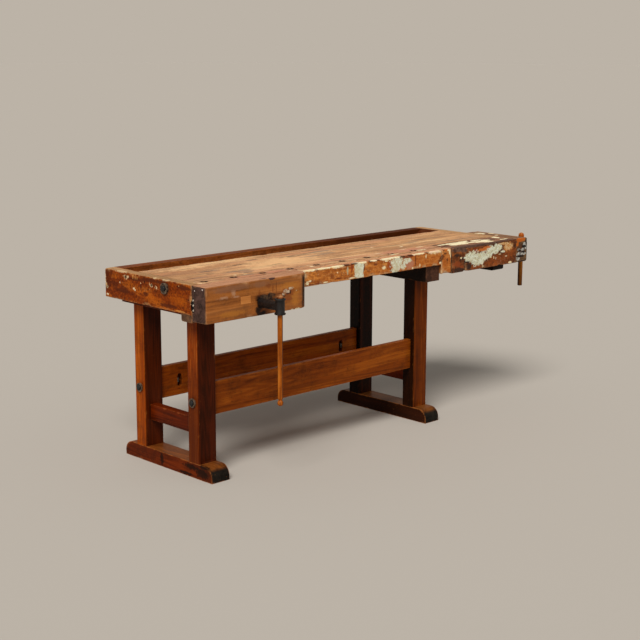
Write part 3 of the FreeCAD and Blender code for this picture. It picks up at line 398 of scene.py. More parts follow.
edgeCoats = [
    coat((196, 132, 104), onFront((136, 777, 36, 28)), limit=0.7, ragged=1.3, soft=0.35),
    coat((112, 48, 24), onFront((124, 816, 42, 9), (-262, 815, 32, 4), (-165, 792, 9, 16), (-180, 814, 18, 5),
         (-362, 778, 3, 12), (-470, 757, 50, 3), (174, 792, 3.5, 30), (20, 762, 20, 6), (-320, 765, 20, 4),
         (-90, 800, 12, 6)), dirt),
    coat((150, 58, 24), onFront((-240, 803, 10, 20), (-2, 787, 18, 22)), limit=0.8, ragged=2.3, fineness=60,
         soft=0.3),
    coat((72, 34, 20), onFront((358, 783, 18, 12), (346, 768, 14, 9), (382, 801, 10, 6), (397, 770, 6, 10)),
         limit=0.85, ragged=2, fineness=110, soft=0.15, holes=0.7),
    coat((190, 178, 140), onFront((-266, 795, 6, 14), (-266, 779, 4, 5)), limit=0.9, ragged=1.2, fineness=95),
    coat(mint, onFront((-194, 788, 30, 33), (-190, 762, 20, 10)), mintPaint, square=True, ragged=0.9, holes=0.4),
    coat(mint, onFront((52, 790, 42, 34), (40, 763, 30, 16), (115, 795, 32, 12), (88, 772, 18, 16)), mintPaint),
    coat(cream, onFront((-36, 780, 12, 8), (-19, 811, 12, 7), (-508, 764, 10, 8), (-492, 772, 10, 4),
         (-328, 791, 4, 4), (246, 802, 4, 10), (347, 761, 7, 6), (155, 757, 6, 5), (-400, 757, 14, 3),
         (-240, 757, 20, 3), (205, 765, 4, 6)), creamPaint, fineness=140, ragged=1.7),
    coat((246, 216, 160), onFront((-320, 785, 220, 36), (100, 785, 300, 36)), flecks, limit=0.8),
    coat((78, 36, 16), onFront((-320, 785, 220, 40), (100, 785, 340, 50)), flecks, fineness=95, limit=0.85),
    coat((60, 30, 16), onArris((-449, 12, 6), (-275, 30, 6), (-225, 24, 7), (-122, 20, 6), (-72, 12, 5),
         (80, 32, 7), (140, 20, 7), (255, 14, 6), (372, 12, 6)), dirt, limit=0.8),
    coat(cream, onArris((-492, 36, 8), (-405, 52, 6), (-328, 40, 10), (-170, 24, 6), (-100, 20, 5), (-12, 50, 8),
         (52, 20, 6), (203, 38, 6)), creamPaint, ragged=1.5, fineness=60),
    coat(pink, onArris((310, 50, 13), (165, 12, 6)), creamPaint, ragged=1.4),
    coat((206, 108, 34), onArris((397, 26, 6)), limit=0.8, ragged=1.2, fineness=75, soft=0.2),
    # cream paint worn along the round corner at the right-hand end, partly a painted highlight on it
    coat(cream, [((x * mm, frontLevel, z * mm), (wide * mm, 12 * mm, tall * mm)) for x, z, wide, tall in
                 ((405, 815, 9, 5), (413, 804, 5.5, 11), (421, 789, 4.2, 13), (428, 765, 4.5, 16), (431, 750, 3, 8))],
         creamPaint, ragged=0.5, holes=0),
]
topCoats = [
    coat((160, 110, 72), onTop((-960, 0, 220, 300), (-780, -150, 260, 60), (200, -50, 160, 160)), limit=0.42,
         ragged=0.9, soft=0.8),
    coat((206, 132, 104), onTop((-800, -185, 180, 35), (-620, -150, 100, 30), (220, -120, 220, 50)), limit=0.5,
         ragged=1.2, soft=0.6),
    # painted sheen: a broad pale pool of light across the middle of the top
    coat((252, 200, 142), onTop((-420, 30, 300, 150), (-830, 160, 200, 50), (-600, -40, 120, 50)), limit=0.6,
         ragged=1.3, soft=0.7),
    coat((138, 116, 96), onTop((-80, 130, 80, 22), (-814, 39, 70, 16), (-710, -75, 60, 18), (-641, -218, 50, 12),
         (-200, 50, 90, 14), (90, 80, 90, 12), (-950, -60, 50, 12), (-106, 67, 70, 22), (-722, -40, 90, 18),
         (-753, -137, 50, 14), (195, 88, 70, 14), (447, 47, 70, 14)), limit=0.62, ragged=1.6, fineness=34,
         soft=0.4),
    coat((78, 56, 44), onTop((-625, 82, 34, 8), (-475, 148, 38, 7), (-252, 103, 80, 5.5), (-300, 115, 50, 4),
         (-88, 185, 80, 5), (250, 130, 70, 5), (-720, -95, 30, 6), (-463, -226, 28, 4), (-860, -20, 30, 5),
         (29, 110, 60, 4), (-547, -213, 45, 3.5), (-833, 40, 40, 6), (-851, 149, 60, 4), (-481, -12, 30, 4),
         (-996, -58, 22, 5), (466, -55, 60, 5), (100, -30, 60, 4), (-200, -80, 50, 3), (330, 30, 60, 4),
         (-380, 190, 70, 4)), limit=0.85, ragged=1.7, fineness=75, soft=0.2),
    coat((138, 94, 68), onTop(*((x, -148, 34, 24) for x in holesAt)), limit=0.55, ragged=0.9, fineness=50, soft=0.5),
    # painted shade: the dog holes darkened nearly black inside
    coat((26, 16, 12), onTop(*((x, -148, 19, 16) for x in holesAt)), limit=0.95, ragged=0.25, fineness=80,
         soft=0.12),
    coat((80, 48, 32), onTop((-454, -178, 160, 1.6), (-800, -178, 160, 1.3), (-160, -178, 90, 1.5),
         (140, -178, 160, 1.4)), limit=0.85, ragged=0.7, fineness=60),
    coat(cream, onTop((-804, -112, 8, 5), (-760, -125, 10, 3), (303, -24, 14, 6), (-415, -165, 16, 5),
         (100, -168, 36, 6), (290, -160, 36, 8), (180, 50, 14, 3), (360, -90, 30, 5), (240, -90, 30, 3),
         (60, -100, 24, 3)), creamPaint, fineness=110, ragged=1.6),
    coat((140, 92, 58), [((-0.76, stripLevel, 0.8), (0.32, 0.003, 0.12)),
         ((0.66, stripLevel, 0.8), (0.28, 0.003, 0.12))], limit=0.9, ragged=0.8, soft=0.15, square=True),
]
trayCoats = [
    coat((70, 28, 6), [((0.75, 0.4, 0.78), (1.25, 0.5, 0.5))], limit=0.9, ragged=0.25, soft=0.75),
]
footCoats = [
    coat((26, 12, 5), onFoot((97, 30, 12, 28), (-60, 10, 50, 7), (-100, 45, 50, 12), (-170, 30, 50, 20),
         (-190, 58, 40, 8)), dirt, ragged=2, fineness=90),
    coat((196, 120, 58), onFoot((-268, 45, 6, 40)), limit=0.6, ragged=1, soft=0.5),
    coat((176, 98, 46), onFoot((-40, 40, 260, 40)), flecks, limit=0.6),
]
viseCoats = [
    coat((172, 84, 24), onFront((790, 735, 120, 30), (610, 713, 45, 10), (871, 760, 50, 30)), limit=0.35, ragged=2,
         fineness=60, soft=0.4),
    coat((150, 70, 30), onFront((471, 742, 30, 14), (500, 725, 20, 8)), limit=0.8, ragged=1.6, fineness=60,
         soft=0.2),
    coat((52, 38, 32), onFront((540, 748, 28, 12), (482, 712, 46, 12), (555, 720, 20, 14), (470, 785, 20, 8),
         (505, 765, 20, 10), (581, 735, 10, 6)), dirt, ragged=1.9),
    coat((70, 50, 42), onFront((484, 811, 60, 13), (600, 818, 110, 9), (710, 818, 80, 6), (520, 800, 30, 8)),
         second=(112, 84, 70), limit=0.9, ragged=1.5, fineness=60, soft=0.15),
    coat((84, 58, 46), onTop((520, -215, 90, 22), (640, -222, 100, 14), (760, -226, 90, 10), (810, -165, 35, 12)),
         limit=0.9, ragged=1.3, fineness=50, soft=0.2),
    coat((214, 196, 172), onFront((789, 730, 130, 36), (620, 720, 90, 16)), flecks, fineness=110, sparse=1.2),
    coat((36, 20, 12), onFront((800, 745, 150, 50), (500, 750, 70, 60)), flecks, sparse=1.15, limit=0.9),
    coat(mint, onFront((575, 767, 48, 26), (612, 752, 40, 30), (655, 757, 46, 26), (640, 735, 30, 14),
         (719, 784, 41, 22), (700, 765, 30, 18), (773, 792, 38, 18), (758, 772, 24, 12), (525, 766, 10, 5),
         (816, 768, 20, 6), (600, 789, 30, 8)), mintPaint),
    coat((236, 196, 140), onFront((858, 788, 40, 20), (816, 806, 36, 6), (845, 802, 30, 8)), second=(208, 140, 76),
         thick=0.4, ragged=1.9, fineness=75, holes=0.8),
    coat((206, 112, 48), onFront((655, 792, 34, 8), (690, 800, 30, 6)), limit=0.9, ragged=1.8, fineness=75),
    coat((140, 44, 24), onFront((600, 796, 9, 8), (612, 788, 6, 6)), limit=0.9, ragged=1.3, fineness=110),
    coat(cream, onFront((498, 768, 7, 5), (657, 720, 2.2, 16), (665, 711, 6, 2), (873, 708, 14, 6),
         (790, 757, 10, 2), (744, 745, 3, 8), (760, 740, 2, 7), (720, 748, 8, 2), (840, 742, 8, 2)), creamPaint,
         fineness=150),
    coat((252, 238, 196), onTop((500, -120, 52, 10), (555, -112, 60, 22), (565, -152, 60, 20), (610, -128, 60, 26),
         (650, -108, 40, 12), (600, -168, 30, 10), (670, -160, 50, 13), (715, -172, 50, 18), (730, -130, 40, 14),
         (768, -160, 30, 20), (745, -198, 40, 12), (885, -115, 18, 40), (870, -190, 30, 8)), creamPaint, ragged=0.9,
         holes=0.15, second=(250, 228, 180)),
    coat((60, 42, 34), onTop((865, -214, 65, 6), (660, -140, 10, 6), (620, -75, 60, 6)), dirt),
]
crossCoats = [
    coat((96, 58, 34), onFront((945, 760, 30, 50)), limit=0.8, ragged=1.4, soft=0.3),
    coat((196, 100, 26), onFront((952, 812, 44, 12), (930, 792, 12, 12)), limit=0.9, ragged=1.5, fineness=50,
         soft=0.15),
    coat((210, 208, 198), onFront((985, 788, 14, 10), (951, 742, 28, 9), (935, 719, 20, 10), (972, 762, 18, 8),
         (998, 770, 8, 12), (940, 765, 10, 6), (985, 740, 12, 6)), second=(128, 124, 116), ragged=2, fineness=75,
         holes=0.8, thick=0.3),
    coat((24, 21, 21), onFront((982, 777, 18, 6), (954, 729, 26, 6), (975, 750, 16, 5), (950, 757, 12, 5),
         (998, 800, 6, 12)), ragged=2, fineness=75, holes=0.5),
    coat((232, 228, 216), onFront((965, 755, 40, 45)), flecks, sparse=1.2),
    coat((20, 17, 16), onFront((961, 701.5, 50, 6), (1006.5, 755, 6.5, 70)), limit=0.92, ragged=0.8, fineness=75,
         soft=0.3),
    coat((236, 218, 184), onTop((945, 20, 20, 30), (985, -20, 12, 20), (955, -80, 14, 10)), creamPaint, ragged=1.8),
]
woods = {
    "capWood": dict(
        grain="y", light=(168, 78, 4), mid=(128, 50, 0), dark=(84, 27, 0), fleck=0.8, soilColour=(66, 24, 3),
        soil=0.5, blotchScale=17, endDark=(58, 26, 12), endLight=(96, 48, 22), worn=(206, 156, 100), rough=0.46,
        coat=0, shine=0.07, specks=0.6, speckScale=130, ringPower=0.06, nicks=0.65,
        streaks=[streak(3, 34, 0.5, 0.66, 0.6, (86, 32, 6)), streak(5, 15, 0.52, 0.64, 0.5, (204, 106, 20))],
        faces=[face((0, 0, 1), 0.9, (118, 78, 40), (200, 152, 100))], coats=capCoats),
    "chopWood": dict(
        grain="x", light=(194, 122, 60), mid=(168, 98, 42), dark=(120, 66, 26), soilColour=(90, 58, 34), soil=0.4,
        endDark=(34, 22, 20), endLight=(80, 57, 52), endPower=0.96, worn=(206, 152, 104), rough=0.5, nicks=0.4,
        specks=0.25, fleck=0.2, shine=0.12, streaks=[streak(1.6, 44, 0.5, 0.66, 0.5, (120, 82, 50)),
        streak(1.1, 24, 0.5, 0.64, 0.5, (190, 112, 40))],
        faces=[face((0, 0, 1), 0.75, (144, 98, 68), (208, 148, 108))], coats=chopCoats),
    "innerJawWood": dict(
        grain="x", light=(150, 96, 52), mid=(116, 70, 36), dark=(76, 44, 22), soilColour=(52, 34, 22), soil=0.5,
        endDark=(56, 38, 26), endLight=(104, 72, 48), endPower=0.9, worn=(176, 122, 80), rough=0.55),
    "edgeWood": dict(
        grain="x", light=(250, 176, 92), mid=(220, 133, 54), dark=(142, 68, 20), fleck=0.5,
        soilColour=(112, 52, 20), soil=0.62, blotchScale=30, endDark=(84, 44, 22), endLight=(140, 84, 44),
        worn=(236, 208, 158), rough=0.5, nicks=0.65, specks=0.5, speckScale=170, wornPower=0.7, shine=0.1,
        streaks=[streak(6, 24, 0.5, 0.64, 0.5, (166, 86, 30)), streak(14, 90, 0.6, 0.68, 0.6, (88, 44, 22))],
        fade=fade((1, 0, 0), -0.35, 0.3, 0.3, 0.5, (170, 80, 16)),
        faces=[face((0, 0, 1), 0.75, (176, 116, 78), (222, 164, 120))], coats=edgeCoats),
    "topWood": dict(
        grain="x", light=(234, 184, 128), mid=(206, 150, 98), dark=(158, 104, 66), soilColour=(122, 84, 60),
        soil=0.4, blotchScale=9, endDark=(84, 50, 30), endLight=(132, 88, 58), worn=(240, 206, 164), rough=0.6,
        coat=0, shine=0.16, bandPower=2.3, nicks=0.5, specks=0.35, speckScale=170, fleck=0.35,
        streaks=[streak(0.8, 8, 0.46, 0.62, 0.5, (216, 142, 104)),
        streak(1.2, 20, 0.53, 0.66, 0.6, (150, 124, 102)), streak(1, 13, 0.54, 0.68, 0.6, (250, 206, 148)),
        streak(2.5, 110, 0.56, 0.61, 0.8, (92, 68, 54)), streak(9, 90, 0.61, 0.68, 0.65, (92, 62, 46))],
        # painted shade: the slab's end faces and front face, hidden in the joints, near black
        faces=[face(way, 0.96, (22, 13, 9), (40, 24, 16)) for way in ((1, 0, 0), (-1, 0, 0), (0, -1, 0))],
        coats=topCoats),
    "trayWood": dict(
        grain="x", light=(186, 110, 52), mid=(148, 78, 28), dark=(96, 44, 12), soilColour=(58, 28, 10), soil=0.45,
        endDark=(48, 24, 12), endLight=(84, 46, 24), worn=(176, 98, 46), rough=0.5, coat=0, shine=0.06, fleck=0.3,
        faces=[face((0, 0, 1), 0.9, (84, 37, 9), (132, 64, 21))], coats=trayCoats),
    "legWood": dict(
        grain="z", light=(186, 90, 10), mid=(150, 64, 3), dark=(102, 36, 2), soilColour=(66, 24, 4), soil=0.4,
        endDark=(48, 20, 8), endLight=(84, 40, 16), worn=(204, 124, 54), rough=0.4, coat=0, shine=0.06, specks=0.25,
        fibrePower=1.1, streaks=[streak(3, 170, 0.6, 0.7, 0.55, (212, 130, 54)),
        streak(1.2, 30, 0.5, 0.66, 0.5, (112, 44, 6))], faces=[face((0, -1, 0), 0.94, (42, 13, 2), (76, 24, 4))]),
    "stretcherWood": dict(
        grain="x", light=(158, 82, 17), mid=(128, 58, 8), dark=(86, 34, 4), soilColour=(58, 26, 6), soil=0.45,
        endDark=(48, 22, 9), endLight=(80, 40, 18), worn=(184, 112, 50), rough=0.44, coat=0, shine=0.06, nicks=0.55,
        specks=0.2, streaks=[streak(1.4, 60, 0.52, 0.66, 0.45, (90, 40, 8)),
        streak(2.2, 26, 0.54, 0.66, 0.4, (170, 88, 20))]),
    "footWood": dict(
        grain="y", light=(128, 47, 2), mid=(92, 29, 0), dark=(55, 15, 0), soilColour=(36, 15, 5), soil=0.5,
        endDark=(12, 11, 9), endLight=(34, 30, 24), endPower=0.97, worn=(186, 110, 52), rough=0.44, coat=0,
        shine=0.06, fade=fade((0, -1, 0), 0.02, 0.22, 0.1, 0.5, (56, 22, 6)),
        faces=[face((0, 0, 1), 0.6, (82, 44, 16), (142, 82, 32))], coats=footCoats),
    "railWood": dict(
        grain="y", light=(120, 42, 3), mid=(88, 26, 1), dark=(58, 15, 1), soilColour=(44, 17, 6), soil=0.4,
        endDark=(48, 20, 8), endLight=(76, 34, 14), worn=(160, 84, 40), rough=0.42, coat=0, shine=0.06),
    "beamWood": dict(
        grain="y", light=(84, 48, 28), mid=(62, 34, 20), dark=(38, 20, 12), soilColour=(28, 16, 10), soil=0.5,
        endDark=(44, 26, 20), endLight=(96, 62, 46), worn=(120, 76, 48), rough=0.55, shine=0.06,
        # painted shade: the right bearer's left face, under the worktop, near black
        faces=[face((-1, 0, 0), 0.9, (8, 5, 3), (22, 12, 7))]),
    "barWood": dict(
        grain="y", light=(40, 25, 16), mid=(26, 16, 10), dark=(14, 9, 6), soilColour=(12, 8, 6), soil=0.5,
        endDark=(16, 11, 8), endLight=(34, 22, 15), worn=(60, 40, 25), rough=0.5, shine=0.06),
    "viseWood": dict(
        grain="x", light=(160, 88, 38), mid=(116, 60, 26), dark=(66, 33, 17), soilColour=(46, 27, 19), soil=0.6,
        blotchScale=18, endDark=(66, 42, 30), endLight=(112, 76, 50), worn=(214, 168, 118), wornPower=0.4,
        rough=0.55, nicks=0.6, specks=0.5, fleck=0.9, shine=0.1,
        streaks=[streak(8, 30, 0.5, 0.64, 0.6, (88, 40, 18)), streak(10, 26, 0.54, 0.64, 0.5, (176, 92, 34))],
        faces=[face((0, 0, 1), 0.6, (112, 74, 52), (196, 142, 104))], coats=viseCoats),
    "crossWood": dict(
        grain="y", light=(176, 98, 34), mid=(128, 66, 24), dark=(70, 36, 17), soilColour=(48, 32, 24), soil=0.5,
        blotchScale=18, endDark=(40, 32, 24), endLight=(122, 96, 66), endPower=0.85, worn=(206, 156, 100),
        wornPower=0.5, rough=0.5, nicks=0.5, fleck=0.5, shine=0.1,
        faces=[face((0, 0, 1), 0.8, (96, 62, 36), (172, 122, 78))], coats=crossCoats),
    "handleWood": dict(
        grain="z", light=(204, 122, 40), mid=(170, 88, 18), dark=(118, 54, 8), soilColour=(70, 32, 10), soil=0.35,
        endDark=(70, 36, 16), endLight=(120, 66, 30), worn=(210, 140, 64), rough=0.4, coat=0, shine=0.12,
        # painted shade down the side of the handle turned from the light
        bandAcross=60, bandAlong=3, faces=[face((0.718, -0.696, 0), 0.85, (84, 36, 3), (128, 64, 8))]),
    "knobWood": dict(
        grain="z", light=(190, 132, 84), mid=(146, 88, 50), dark=(76, 36, 18), soilColour=(60, 30, 14), soil=0.4,
        endDark=(150, 96, 50), endLight=(206, 150, 92), worn=(226, 168, 104), rough=0.4, coat=0, shine=0.12,
        bandAcross=60, bandAlong=3),
    "paleBlock": dict(
        grain="x", light=(226, 152, 84), mid=(214, 136, 68), dark=(180, 108, 50), soilColour=(150, 88, 42),
        soil=0.25, endDark=(120, 76, 40), endLight=(160, 104, 60), worn=(226, 160, 96), rough=0.5, nicks=0.2,
        specks=0, shine=0.1),
}

# Woods that differ from one of these in a few settings
# the front left post: darker, with painted shade growing towards the bottom
woods["frontLegShadeWood"] = dict(woods["legWood"], light=(174, 78, 5), mid=(137, 54, 2), dark=(93, 32, 1),
                             fade=fade((0, 0, -1), -0.62, -0.2, 0.2, 0.8, (74, 25, 2)))
# the rear stretcher made lighter than the front one: painted light against the shade it stands in
woods["farStretcherLitWood"] = dict(woods["stretcherWood"], light=(184, 96, 12), mid=(152, 68, 4), dark=(108, 42, 2))
woods["leftBearerWood"] = dict(woods["railWood"], light=(140, 62, 18), mid=(110, 44, 12), dark=(76, 28, 8))
# the tail handle: painted shade on one side, and darker towards its lower end
woods["tailHandleWood"] = dict(woods["handleWood"], light=(196, 124, 34), mid=(158, 92, 16), dark=(96, 48, 6),
                               faces=[face((-0.718, 0.696, 0), 0.85, (40, 20, 4), (72, 38, 8))],
                               fade=fade((0, 0, -1), -0.66, -0.55, 0.03, 0.75, (62, 30, 8)))
woods["tailKnobWood"] = dict(woods["knobWood"], light=(196, 110, 30), mid=(166, 80, 14), dark=(110, 50, 8))
# The right trestle is painted in shade: darker all over, its rear post and foot darker still, and near black where it
# faces the left one
woods["farLegShadeWood"] = dict(woods["legWood"], light=(140, 66, 6), mid=(106, 44, 2), dark=(66, 24, 1), specks=0.1,
                           streaks=[streak(1.2, 34, 0.5, 0.66, 0.5, (78, 30, 6))],
                           faces=[face((-1, 0, 0), 0.95, (8, 3, 1), (24, 8, 1))])
woods["farRearLegShadeWood"] = dict(woods["farLegShadeWood"], light=(38, 12, 2), mid=(27, 8, 1), dark=(16, 5, 1))
woods["farFootShadeWood"] = dict(woods["footWood"], light=(50, 19, 3), mid=(35, 11, 1), dark=(20, 6, 1), coats=[])
irons = {
    "blackIron": dict(cloudScale=70, dark=(5, 4, 4), light=(25, 19, 16), rustColour=(48, 26, 14), rust=0.45,
                      metal=0.2, rough=0.55),
    "slotIron": dict(cloudScale=60, dark=(5, 4, 4), light=(12, 10, 9), rustColour=(22, 14, 9), rust=0.3,
                     metal=0.1, rough=0.6),
    "ringIron": dict(cloudScale=110, dark=(46, 34, 26), light=(126, 104, 82), rustColour=(92, 58, 34), rust=0.35,
                     metal=0.3, rough=0.45),
    "brightSteel": dict(cloudScale=160, dark=(150, 138, 120), light=(226, 214, 194), rustColour=(120, 84, 56),
                        rust=0.25, metal=0.3, rough=0.4),
    "darkSteel": dict(cloudScale=60, dark=(62, 56, 50), light=(126, 116, 104), rustColour=(92, 58, 36), rust=0.35,
                      metal=0.8, rough=0.38),
}
finishes = {name: woodFinish(name, look) for name, look in woods.items()}
finishes.update({name: ironFinish(name, look) for name, look in irons.items()})
print("finishes made:", len(finishes))


# A CAD node's mesh with its triangles joined into faces
def mergedMesh(node):
    bm = bmesh.new()
    bm.from_mesh(nodes[node].data)
    bmesh.ops.remove_doubles(bm, verts=bm.verts[:], dist=1e-5)
    bmesh.ops.dissolve_limit(bm, angle_limit=math.radians(0.6), verts=bm.verts[:], edges=bm.edges[:])
    return bm


def wholeBisect(bm, point, way, **clear):
    return bmesh.ops.bisect_plane(bm, geom=bm.verts[:] + bm.edges[:] + bm.faces[:], dist=1e-6,
                                  plane_co=point, plane_no=way, **clear)


# Cut the faces across, every step along each axis and closer beside the arrises
def cutGrid(bm, low, high, steps, arrisCuts):
    edgeBand, leastSpan = arrisCuts[-1] * 1.3, arrisCuts[-1] * 2.5
    for axis in sorted(range(3), key=lambda axis: low[axis] - high[axis]):
        span = high[axis] - low[axis]
        count = max(1, round(span / steps[axis]))
        places = [low[axis] + span * i / count for i in range(1, count)]
        places = [at for at in places if edgeBand < at - low[axis] < span - edgeBand]
        if span > leastSpan:
            places += [low[axis] + cut for cut in arrisCuts] + [high[axis] - cut for cut in arrisCuts]
        way = Vector([1.0 if i == axis else 0.0 for i in range(3)])
        for at in places:
            wholeBisect(bm, way * at, way)


# How deep a point lies under each nearby outer face, with the way inwards
def faceDepths(point, low, high, rounds):
    depths = {}
    for axis in range(3):
        way = Vector((0.0, 0.0, 0.0))
        if point[axis] - low[axis] < high[axis] - point[axis]:
            way[axis] = 1.0
            depths[axis] = (point[axis] - low[axis], way)
        else:
            way[axis] = -1.0
            depths[axis] = (high[axis] - point[axis], way)
    for turn in rounds:
        first, second = turn["axes"]
        offset = Vector((0.0, 0.0, 0.0))
        offset[first] = point[first] - turn["centre"][0]
        offset[second] = point[second] - turn["centre"][1]
        if offset[first] * turn["sides"][0] > 0 and offset[second] * turn["sides"][1] > 0:
            depths[first] = (turn["radius"] - offset.length, offset.normalized() * -1.0)
            depths.pop(second)
    return list(depths.values())


# What the wear of all pieces shares. Skin is the depth up to which a point counts as lying on a face
skin = 0.6 * mm
arrisScale, arrisUneven = 45.0, 0.6
nickTimes, nickFrom = 3.1, 0.2
dentScale, dentFrom = 26.0, 0.35
chipReach, nickReach = 2.0, 0.7          # how far they reach, in shares of the piece's chip
rubReach, rubMore = 1.5, 0.8 * mm        # how far from an arris its wear shows


def overshoot(point, threshold):         # how far the noise rises over a threshold
    return max(0.0, noise.noise(point) - threshold)


# Wear: rounds the arrises by an uneven radius, breaks chips out of them and lets the faces dip
def wearDown(bm, low, high, wear, rounds, seed):
    rubbed = bm.verts.layers.float.new("wear")
    bm.normal_update()
    moves = []
    for vert in bm.verts:
        point = vert.co
        parts = faceDepths(point, low, high, rounds)
        chip = overshoot(point * wear["chipScale"] + seed, wear["chipFrom"])
        nick = overshoot(point * wear["chipScale"] * nickTimes + seed * 2.0, nickFrom)
        radius = wear["arris"] * (1.0 + arrisUneven * noise.noise(point * arrisScale + seed))
        radius += wear["chip"] * (chip * chipReach + nick * nickReach)
        push = Vector((0.0, 0.0, 0.0))
        shallow = sorted(depth for depth, way in parts)
        for depth, way in parts:
            if depth < radius:
                push += way * (radius - depth)
        move = Vector((0.0, 0.0, 0.0))
        if push.length > radius:
            move = push.normalized() * (push.length - radius)
        reach = radius * rubReach + rubMore
        onFace = shallow[0] < skin
        vert[rubbed] = max(0.0, min(1.0, 1.2 - shallow[1] / reach)) if onFace else 0.0
        keepFlat = wear["flatBottom"] and any(way.z > 0.5 and depth < skin for depth, way in parts)
        if onFace and not keepFlat:
            sway = 0.5 + 0.5 * noise.noise(point * wear["dipScale"] + seed)
            dent = overshoot(point * dentScale + seed * 3.0, dentFrom)
            move -= vert.normal * (wear["dip"] * sway + wear["dent"] * dent)
        moves.append(move)
    for vert, move in zip(bm.verts, moves):
        vert.co += move


def finishMesh(bm, name, material, sharpAngle=38.0):
    mesh = bpy.data.meshes.new(name)
    bm.normal_update()
    bm.to_mesh(mesh)
    bm.free()
    for polygon in mesh.polygons:
        polygon.use_smooth = True
    mesh.set_sharp_from_angle(angle=math.radians(sharpAngle))
    mesh.materials.append(material)
    piece = bpy.data.objects.new(name, mesh)
    bpy.context.scene.collection.objects.link(piece)
    return piece


def standFor(piece, node):
    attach(piece, bodyOf[node])
    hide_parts(node)


gentle = {"arris": 1.2 * mm, "chip": 4 * mm, "chipScale": 22.0, "chipFrom": 0.3, "dip": 0.5 * mm,
          "dipScale": 9.0, "dent": 1.0 * mm, "flatBottom": False}
rough = {"arris": 2.0 * mm, "chip": 8 * mm, "chipScale": 20.0, "chipFrom": 0.15, "dip": 1.0 * mm,
         "dipScale": 7.0, "dent": 2.0 * mm, "flatBottom": False}
harsh = {"arris": 2.2 * mm, "chip": 11 * mm, "chipScale": 24.0, "chipFrom": 0.1, "dip": 1.2 * mm,
         "dipScale": 8.0, "dent": 2.5 * mm, "flatBottom": False}
footWear = {**gentle, "flatBottom": True}


def worn(finish, wear, *steps):
    return {"finish": finish, "wear": wear, "steps": steps}


# Each wooden piece: its finish, its wear and how finely it is cut (mm along x, y, z)
wooden = {
    "worktop_slab": worn("topWood", rough, 12, 11, 14),
    "dog_hole_strip": worn("topWood", rough, 9, 8, 14),
    "front_edge_board": worn("edgeWood", harsh, 6, 8, 8),
    "tray_floor": worn("trayWood", gentle, 24, 14, 10),
    "rear_rail": worn("trayWood", gentle, 12, 10, 12),
    "tray_ramp_left": worn("trayWood", gentle, 12, 12, 12),
    "tray_ramp_right": worn("trayWood", gentle, 12, 12, 12),
    "end_cap_left": worn("capWood", rough, 8, 7, 8),
    "end_cap_right": worn("capWood", rough, 8, 9, 9),
    "front_vise_inner_jaw": worn("innerJawWood", gentle, 12, 9, 9),
    "front_vise_chop": worn("chopWood", rough, 7, 8, 8),
    "tail_fixed_jaw": worn("edgeWood", harsh, 5, 6, 6),
    "tail_guide_strip": worn("viseWood", gentle, 20, 8, 8),
    "tail_support_bar": worn("barWood", gentle, 9, 10, 8),
    "tail_vise_jaw": worn("viseWood", harsh, 5, 7, 6),
    "tail_vise_cheek": worn("viseWood", harsh, 5, 7, 6),
    "tail_vise_cover": worn("viseWood", rough, 7, 6, 7),
    "tail_cross_piece": worn("crossWood", harsh, 7, 7, 7),
    "foot_left": worn("footWood", footWear, 9, 8, 8),
    "foot_right": worn("farFootShadeWood", footWear, 9, 8, 8),
    "post_front_left": worn("frontLegShadeWood", gentle, 10, 10, 10),
    "post_rear_left": worn("legWood", gentle, 10, 10, 10),
    "post_front_right": worn("farLegShadeWood", gentle, 10, 10, 10),
    "post_rear_right": worn("farRearLegShadeWood", gentle, 10, 10, 10),
    "cross_rail_left": worn("railWood", gentle, 10, 10, 9),
    "cross_rail_right": worn("railWood", gentle, 10, 10, 9),
    "bearer_left": worn("leftBearerWood", gentle, 12, 12, 10),
    "bearer_right": worn("beamWood", gentle, 12, 12, 10),
    "stretcher_front": worn("stretcherWood", gentle, 12, 10, 8),
    "stretcher_rear": worn("farStretcherLitWood", gentle, 12, 10, 8),
}

cornerRounds = {"front_vise_chop": 55 * mm, "tail_fixed_jaw": 14 * mm}
footRound = 45 * mm


# The round corner of a jaw, and the round upper ends of a foot
def roundsOf(node, low, high):
    if node in cornerRounds:
        radius = cornerRounds[node]
        return [{"axes": (0, 1), "centre": (high.x - radius, low.y + radius), "sides": (1, -1), "radius": radius}]
    if node.startswith("foot_"):
        return [{"axes": (1, 2), "centre": (end - side * footRound, high.z - footRound), "sides": (side, 1),
                 "radius": footRound} for end, side in ((low.y, -1), (high.y, 1))]
    return []


arrisCuts = (0.8 * mm, 2 * mm, 4 * mm, 7.5 * mm)
coarse = 1.0
for order, (node, plan) in enumerate(wooden.items()):
    bm = mergedMesh(node)
    low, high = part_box(node)
    cutGrid(bm, low, high, [step * mm * coarse for step in plan["steps"]], arrisCuts)
    seed = Vector((order * 1.7, order * 2.9, order * 0.6))
    wearDown(bm, low, high, plan["wear"], roundsOf(node, low, high), seed)
    piece = finishMesh(bm, "worn_" + node, finishes[plan["finish"]])
    standFor(piece, node)
print("worn pieces made:", len(wooden))

# Vise screws: the forged hub and neck, and a thread spun along the shank from the collar on
# The lead is in turns, the gap lies between collar and thread, and the thread starts sunk into the neck
threadForm = {"depth": 2.4 * mm, "pitch": 6 * mm, "steps": 28, "lead": 1.2, "gap": 4 * mm, "sink": 2 * mm}
hubRound, hubAngle = 0.7 * mm, math.radians(35)
screws = {
    "front_vise_screw": {**threadForm, "collar": "front_screw_collar", "way": Vector((0, 1, 0)), "radius": 17 * mm},
    "tail_vise_screw": {**threadForm, "collar": "tail_screw_collar", "way": Vector((-1, 0, 0)), "radius": 16 * mm},
}


